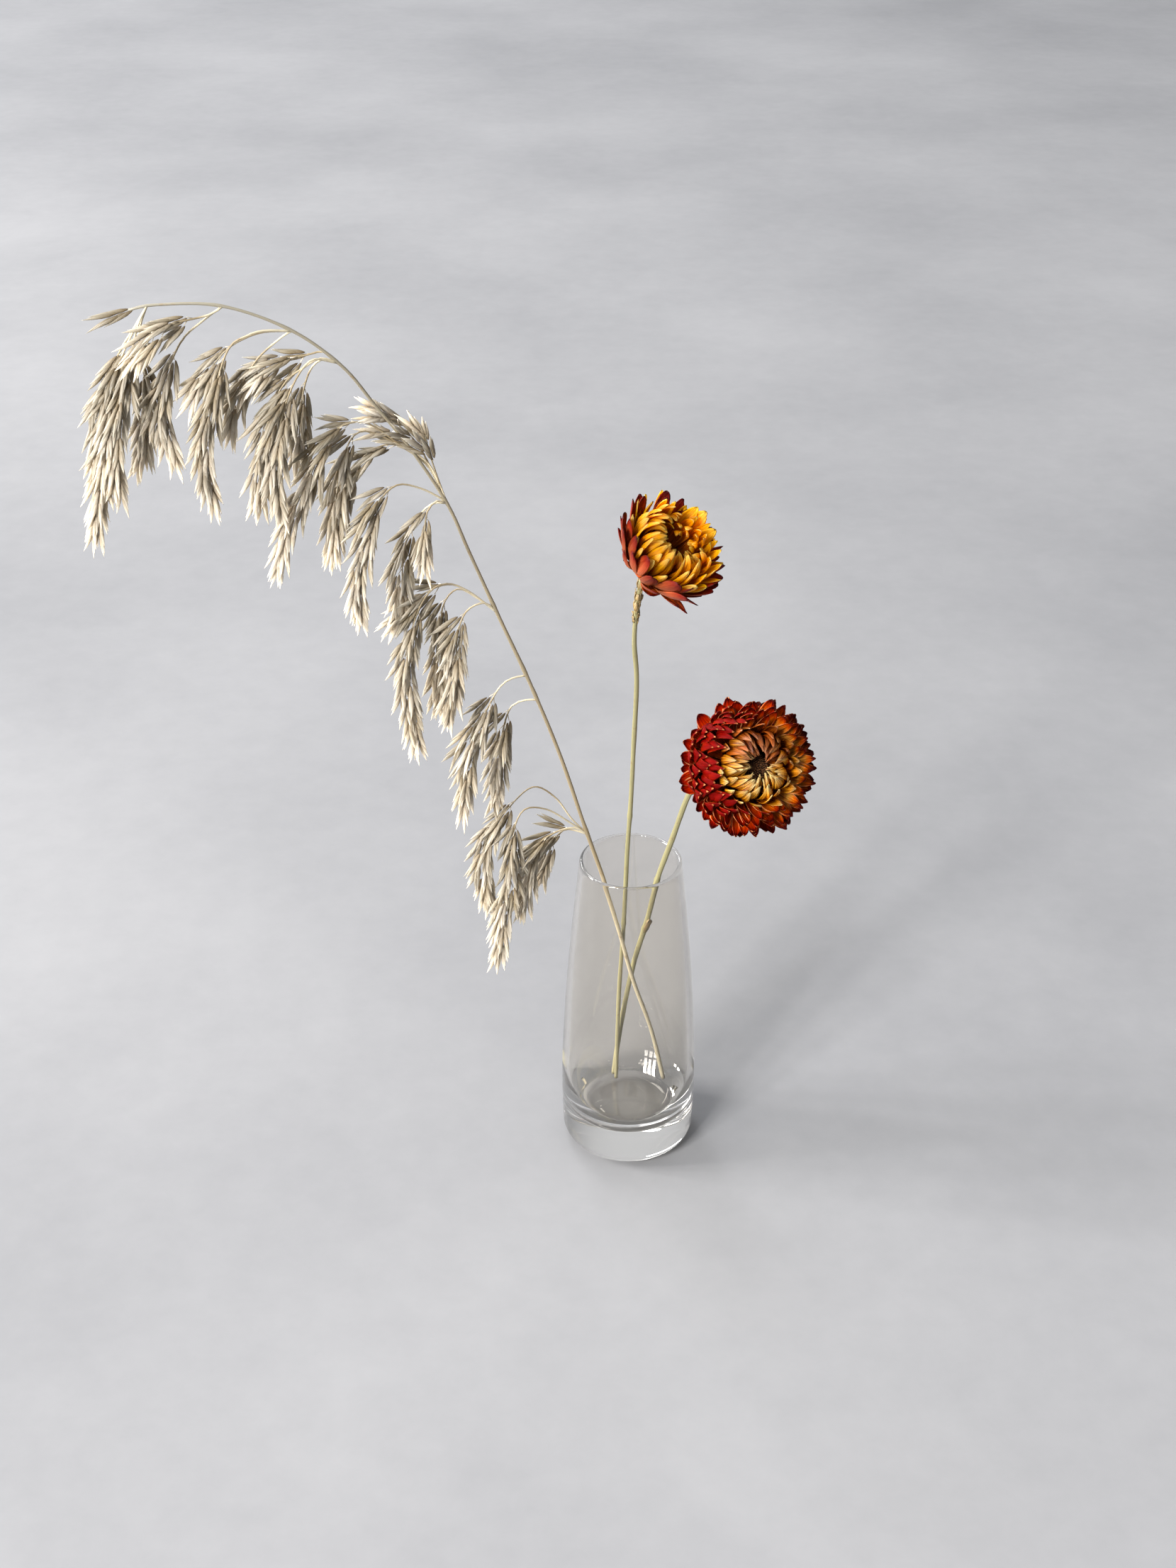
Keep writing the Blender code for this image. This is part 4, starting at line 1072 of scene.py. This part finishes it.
def add_spikelet(shapes, root, along, broad, length, light, draw, spread=1.0):
    """A spikelet: a few husks, alternate sides, staggered up its axis, with their points free.

    Its tone is drawn about the given lightness, in part a painted shade; spread says how far its husks open.
    """
    across = (broad - along * broad.dot(along)).normalized()
    deep = along.cross(across)
    root, along, across, deep = (np.array(tuple(vector)) for vector in (root, along, across, deep))
    tone = (0.08 + 0.78 * light + draw.uniform(-0.2, 0.2), draw.random())
    for index in range(LEMMAS):
        side = 1 if index % 2 else -1
        start = root + along * length * 0.06 * index + across * side * 0.36 * MM
        lean = side * spread * draw.uniform(0.09, 0.22)
        way = along + across * lean + deep * draw.uniform(-0.05, 0.05)
        way /= np.linalg.norm(way)
        size = length * draw.uniform(0.60, 0.68)
        shade = (min(1.0, max(0.0, tone[0] + draw.uniform(-0.2, 0.2))), tone[1])
        add_lemma(shapes, start, way, across * side, deep * side, size, draw.uniform(0.1, 0.5) * MM, shade)


def dress_branch(shapes, route, first, full, draw):
    """Hangs stalked spikelets along a branch from a distance along it to near its tip."""
    length = route_length(route)
    last = length - 4 * MM
    count = max(1, round((last - first) / SPIKELET_SPACING))
    for index in range(count + 1):
        share = index / count
        place, along = place_along(route, first + (last - first) * share)
        turn = GOLDEN_ANGLE * index + draw.uniform(-0.5, 0.5)
        sideways = along.cross(TOWARD_VIEWER).normalized()
        fan = (sideways * math.cos(turn) + along.cross(sideways) * 0.6 * math.sin(turn)).normalized()
        swell = 0.20 + 1.05 * math.sin(math.pi * (0.22 + 0.72 * share)) ** 1.3
        reach = full * swell * draw.uniform(0.5, 1.1)
        stalk = (along * 0.9 + fan * 0.6 - UP * 0.25).normalized() * reach * MM
        spread = 0.46 * draw.uniform(0.4, 1.2) * (1 - 0.6 * share)
        hang = (along + fan * spread + PLUME_HEADING * 0.15 - UP * 0.40).normalized()
        size = draw.uniform(*SPIKELET_LENGTHS_MM) * MM * (1 - 0.12 * share)
        end = place + stalk
        tone = (draw.random(), 0.4)
        if stalk.length > 0.4 * MM:
            line = [place, place + stalk * 0.5 + hang * 0.1 * MM, end]
            add_tube(shapes, line, lambda _: STALK_RADIUS, STALK_SIDES, tone)
        # Spikelets near the branch's root are darker and those towards its end paler: partly their own
        # colour, partly painted shade on the tassel's upper part
        add_spikelet(shapes, end, hang, sideways + fan * draw.uniform(-0.6, 0.6), size, share, draw)


def build_plume(culm_look, husk_look):
    points = millimetres(GRASS_CULM_ROUTE_MM)
    route = smooth_route(points, CULM_STEP)
    mouth = points[CULM_MOUTH_POINT]
    before = next(index for index, point in enumerate(route) if (point - mouth).length < 0.01 * MM)
    above_mouth = route[before:]
    total = route_length(route)
    below = total - route_length(above_mouth)
    knots = sorted({(below + distance * MM) / total for _, distance in SPRAYS})
    waves = stem_radius(1.0, knots, seed=7)

    def culm_radius(share):
        return (CULM_FOOT_RADIUS + (CULM_TIP_RADIUS - CULM_FOOT_RADIUS) * share) * waves(share)

    culm = Shapes()
    add_tube(culm, route, culm_radius, CULM_SIDES, (0.5, 0.5), CULM_RIBS, CULM_RELIEF)
    taper = BRANCH_TIP_RADIUS - BRANCH_ROOT_RADIUS
    groups = {}
    order = 0
    for (group, distance), sprays in SPRAYS.items():
        shapes = groups[group] = Shapes()
        start, _ = place_along(above_mouth, distance * MM)
        for swing, first, full, outline in sprays:
            draw = random.Random(PLUME_SEED + order)
            order += 1
            reach = outline[-1][0]
            shape = [start]
            for out, up in outline:
                depth = TOWARD_VIEWER * swing * MM * min(1, out / reach)
                shape.append(start + PLUME_HEADING * out * MM + UP * up * MM + depth)
            branch = smooth_route(shape, CULM_STEP)
            tone = (draw.random(), 0.5)
            add_tube(culm, branch, lambda share: BRANCH_ROOT_RADIUS + taper * share, BRANCH_SIDES, tone)
            dress_branch(shapes, branch, route_length(branch) * first, full, draw)
    tip, along = place_along(route, total)
    draw = random.Random(PLUME_SEED)
    hang = (along - UP * 0.12).normalized()
    add_spikelet(groups["tip"], tip - along * MM, hang, UP, 14.5 * MM, -0.4, draw, 0.8)
    put(culm, "culm_and_branches", [culm_look], "grass_plume")
    for name, shapes in groups.items():
        put(shapes, f"spikelets_{name}", [husk_look], "grass_plume")


def aim(obj, target):
    """Turns a lamp's -Z towards a point."""
    obj.rotation_euler = (Vector(target) - obj.location).to_track_quat("-Z", "Y").to_euler()


def add_panel(name, place, target, size, power, colour):
    lamp = bpy.data.lights.new(name, "AREA")
    lamp.shape = "RECTANGLE"
    lamp.size, lamp.size_y = size
    lamp.energy = power
    lamp.color = colour
    obj = add_object(name, lamp)
    obj.location = place
    aim(obj, target)


def build_floor():
    mesh = bpy.data.meshes.new("floor")
    reach = FLOOR_SIZE / 2
    corners = [(-reach, -reach), (reach, -reach), (reach, reach), (-reach, reach)]
    mesh.from_pydata([(x, y, -FLOOR_DROP) for x, y in corners], [], [(0, 1, 2, 3)])
    mesh.materials.append(floor_look())
    floor = add_object("floor", mesh)


def build_room():
    world = bpy.data.worlds.new("soft_room")
    world.use_nodes = True
    tree = world.node_tree
    room = tree.nodes["Background"]
    room.inputs["Color"].default_value = ROOM_COLOUR
    toward = tree.nodes.new("ShaderNodeVectorMath")
    toward.operation = "DOT_PRODUCT"
    toward.inputs[1].default_value = BRIGHT_WALL_WAY
    tree.links.new(tree.nodes.new("ShaderNodeTexCoord").outputs["Generated"], toward.inputs[0])
    rise = tree.nodes.new("ShaderNodeMapRange")
    rise.interpolation_type = "SMOOTHSTEP"
    for socket, value in zip(list(rise.inputs)[1:5], (*BRIGHT_WALL_EDGES, ROOM_LIGHT, BRIGHT_WALL_LIGHT)):
        socket.default_value = value
    tree.links.new(toward.outputs["Value"], rise.inputs[0])
    tree.links.new(rise.outputs[0], room.inputs["Strength"])
    bpy.context.scene.world = world


def build_lamps():
    for name, (place, panes, size, pitch, power) in WINDOWS.items():
        sideways = UP.cross(Vector(place)).normalized()
        for column in range(panes[0]):
            for row in range(panes[1]):
                across = sideways * (column - (panes[0] - 1) / 2) * pitch[0]
                pane = Vector(place) + across + UP * row * pitch[1]
                add_panel(f"{name}_{column}_{row}", pane, (0, 0, 0.15), size, power, WINDOW_COLOUR)
    add_panel("strip", STRIP_PLACE, (0, 0, 0.1), STRIP_SIZE, STRIP_POWER, STRIP_COLOUR)
    far = bpy.data.lights.new("far_floor", "SPOT")
    far.energy = FAR_LAMP_POWER
    far.spot_size = FAR_LAMP_CONE
    far.spot_blend = 1.0
    far.shadow_soft_size = FAR_LAMP_SIZE
    spot = add_object("far_floor", far)
    spot.location = FAR_LAMP_PLACE
    aim(spot, FAR_LAMP_TARGET)
    sky = bpy.data.lights.new("sky", "SUN")
    sky.energy = SKY_POWER
    sky.angle = SKY_ANGLE
    add_object("sky", sky)


def build_camera():
    data = bpy.data.cameras.new("camera")
    data.sensor_width = SENSOR_WIDTH
    data.lens = FOCAL_PIXELS / IMAGE_HEIGHT * SENSOR_WIDTH
    data.clip_start = 0.01
    camera = add_object("camera", data)
    camera.location = Vector(CAMERA_PLACE_MM) * MM
    camera.rotation_euler = (CAMERA_PITCH, 0, 0)
    bpy.context.scene.camera = camera


def build_upper_bloom():
    frame = bloom_frame(UPPER_BLOOM_NECK_MM, UPPER_BLOOM_FACING)
    amber = (0.60, 0.28, 0.06)
    rust = [
        bract_look("rust_bract_inside", (0.55, 0.35, 0.3), 0.42, 0.25),
        bract_look("rust_bract_outside", (0.6, 0.45, 0.4), 0.45, 0.25),
    ]
    # The gold bracts blend into the second ramp more with each inner row: painted shade in the hollow
    gold = [
        bract_look("gold_bract_inside", amber, 0.36, 0.55, other="hollow_shade_orange"),
        bract_look("gold_bract_outside", amber, 0.34, 0.55, other="hollow_shade_orange"),
    ]
    florets = disc_look("dark_gold_florets", (0.08, 0.03, 0.004), (0.26, 0.11, 0.012))
    build_bracts(
        "upper_outer_bracts", rust, frame, UPPER_CUP, UPPER_OUTER_ROWS,
        seed=1, singles=UPPER_EDGE_BRACTS,
    )
    build_bracts(
        "upper_inner_bracts", gold, frame, UPPER_RECEPTACLE, UPPER_INNER_ROWS,
        seed=2, singles=UPPER_GOLD_BRACTS, shape_tip=open_far_bract,
    )
    build_disc("upper_florets", "bloom_upper_disc", florets, frame, UPPER_DISC_MM, seed=5)


def build_lower_bloom():
    frame = bloom_frame(LOWER_BLOOM_NECK_MM, LOWER_BLOOM_FACING)
    # The edge colours are painted highlights along the bracts' rims
    inside = {"streaking": 0.7, "other": "old_gold", "edge": (0.95, 0.46, 0.22), "gloss": 0.10}
    outside = {"streaking": 0.6, "other": "maroon", "edge": (0.62, 0.09, 0.05), "gloss": 0.08}
    crimson = [
        bract_look("crimson_bract_inside", (0.22, 0.07, 0.03), 0.45, 0.3, **inside),
        bract_look("crimson_bract_outside", (0.4, 0.3, 0.3), 0.5, 0.25, **outside),
    ]
    umber = (0.20, 0.07, 0.035)
    # The bronze bracts blend into the brown ramp on the ring's upper side: painted shade
    bronze = [
        bract_look("bronze_bract_inside", umber, 0.34, 0.2, streaking=1.0, other="brown", gloss=0.4),
        bract_look("bronze_bract_outside", umber, 0.30, 0.2, streaking=1.0, other="brown", gloss=0.5),
    ]
    florets = disc_look("dark_brown_florets", (0.035, 0.012, 0.003), (0.14, 0.05, 0.01))
    build_bracts(
        "lower_outer_bracts", crimson, frame, LOWER_CUP, LOWER_OUTER_ROWS,
        seed=3, shape_tip=shape_lower_bract,
    )
    build_bracts(
        "lower_inner_bracts", bronze, frame, LOWER_RECEPTACLE, LOWER_INNER_ROWS,
        seed=4, shape_tip=shade_ring_bract,
    )
    build_disc("lower_florets", "bloom_lower_disc", florets, frame, LOWER_DISC_MM, seed=6)


def build():
    build_camera()
    build_floor()
    build_room()
    build_lamps()
    build_vase()
    straw = stem_look("straw_stem", (0.20, 0.12, 0.05))
    papery = bract_look("papery_scales", (0.5, 0.35, 0.2), 0.4, 0.25)
    build_upper_stem([straw, papery])
    build_lower_stem([straw, papery])
    build_upper_bloom()
    build_lower_bloom()
    build_plume(stem_look("grass_culm", (0.26, 0.16, 0.07)), grass_look("grass_husk", 0.5))


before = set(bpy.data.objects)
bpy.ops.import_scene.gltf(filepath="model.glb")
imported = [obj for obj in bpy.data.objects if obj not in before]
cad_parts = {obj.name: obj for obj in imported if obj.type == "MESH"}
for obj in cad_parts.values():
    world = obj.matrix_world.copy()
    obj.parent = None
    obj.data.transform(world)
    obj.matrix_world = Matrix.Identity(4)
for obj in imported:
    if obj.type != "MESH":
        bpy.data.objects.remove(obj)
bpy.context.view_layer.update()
build()
bpy.context.scene.view_settings.view_transform = "Standard"
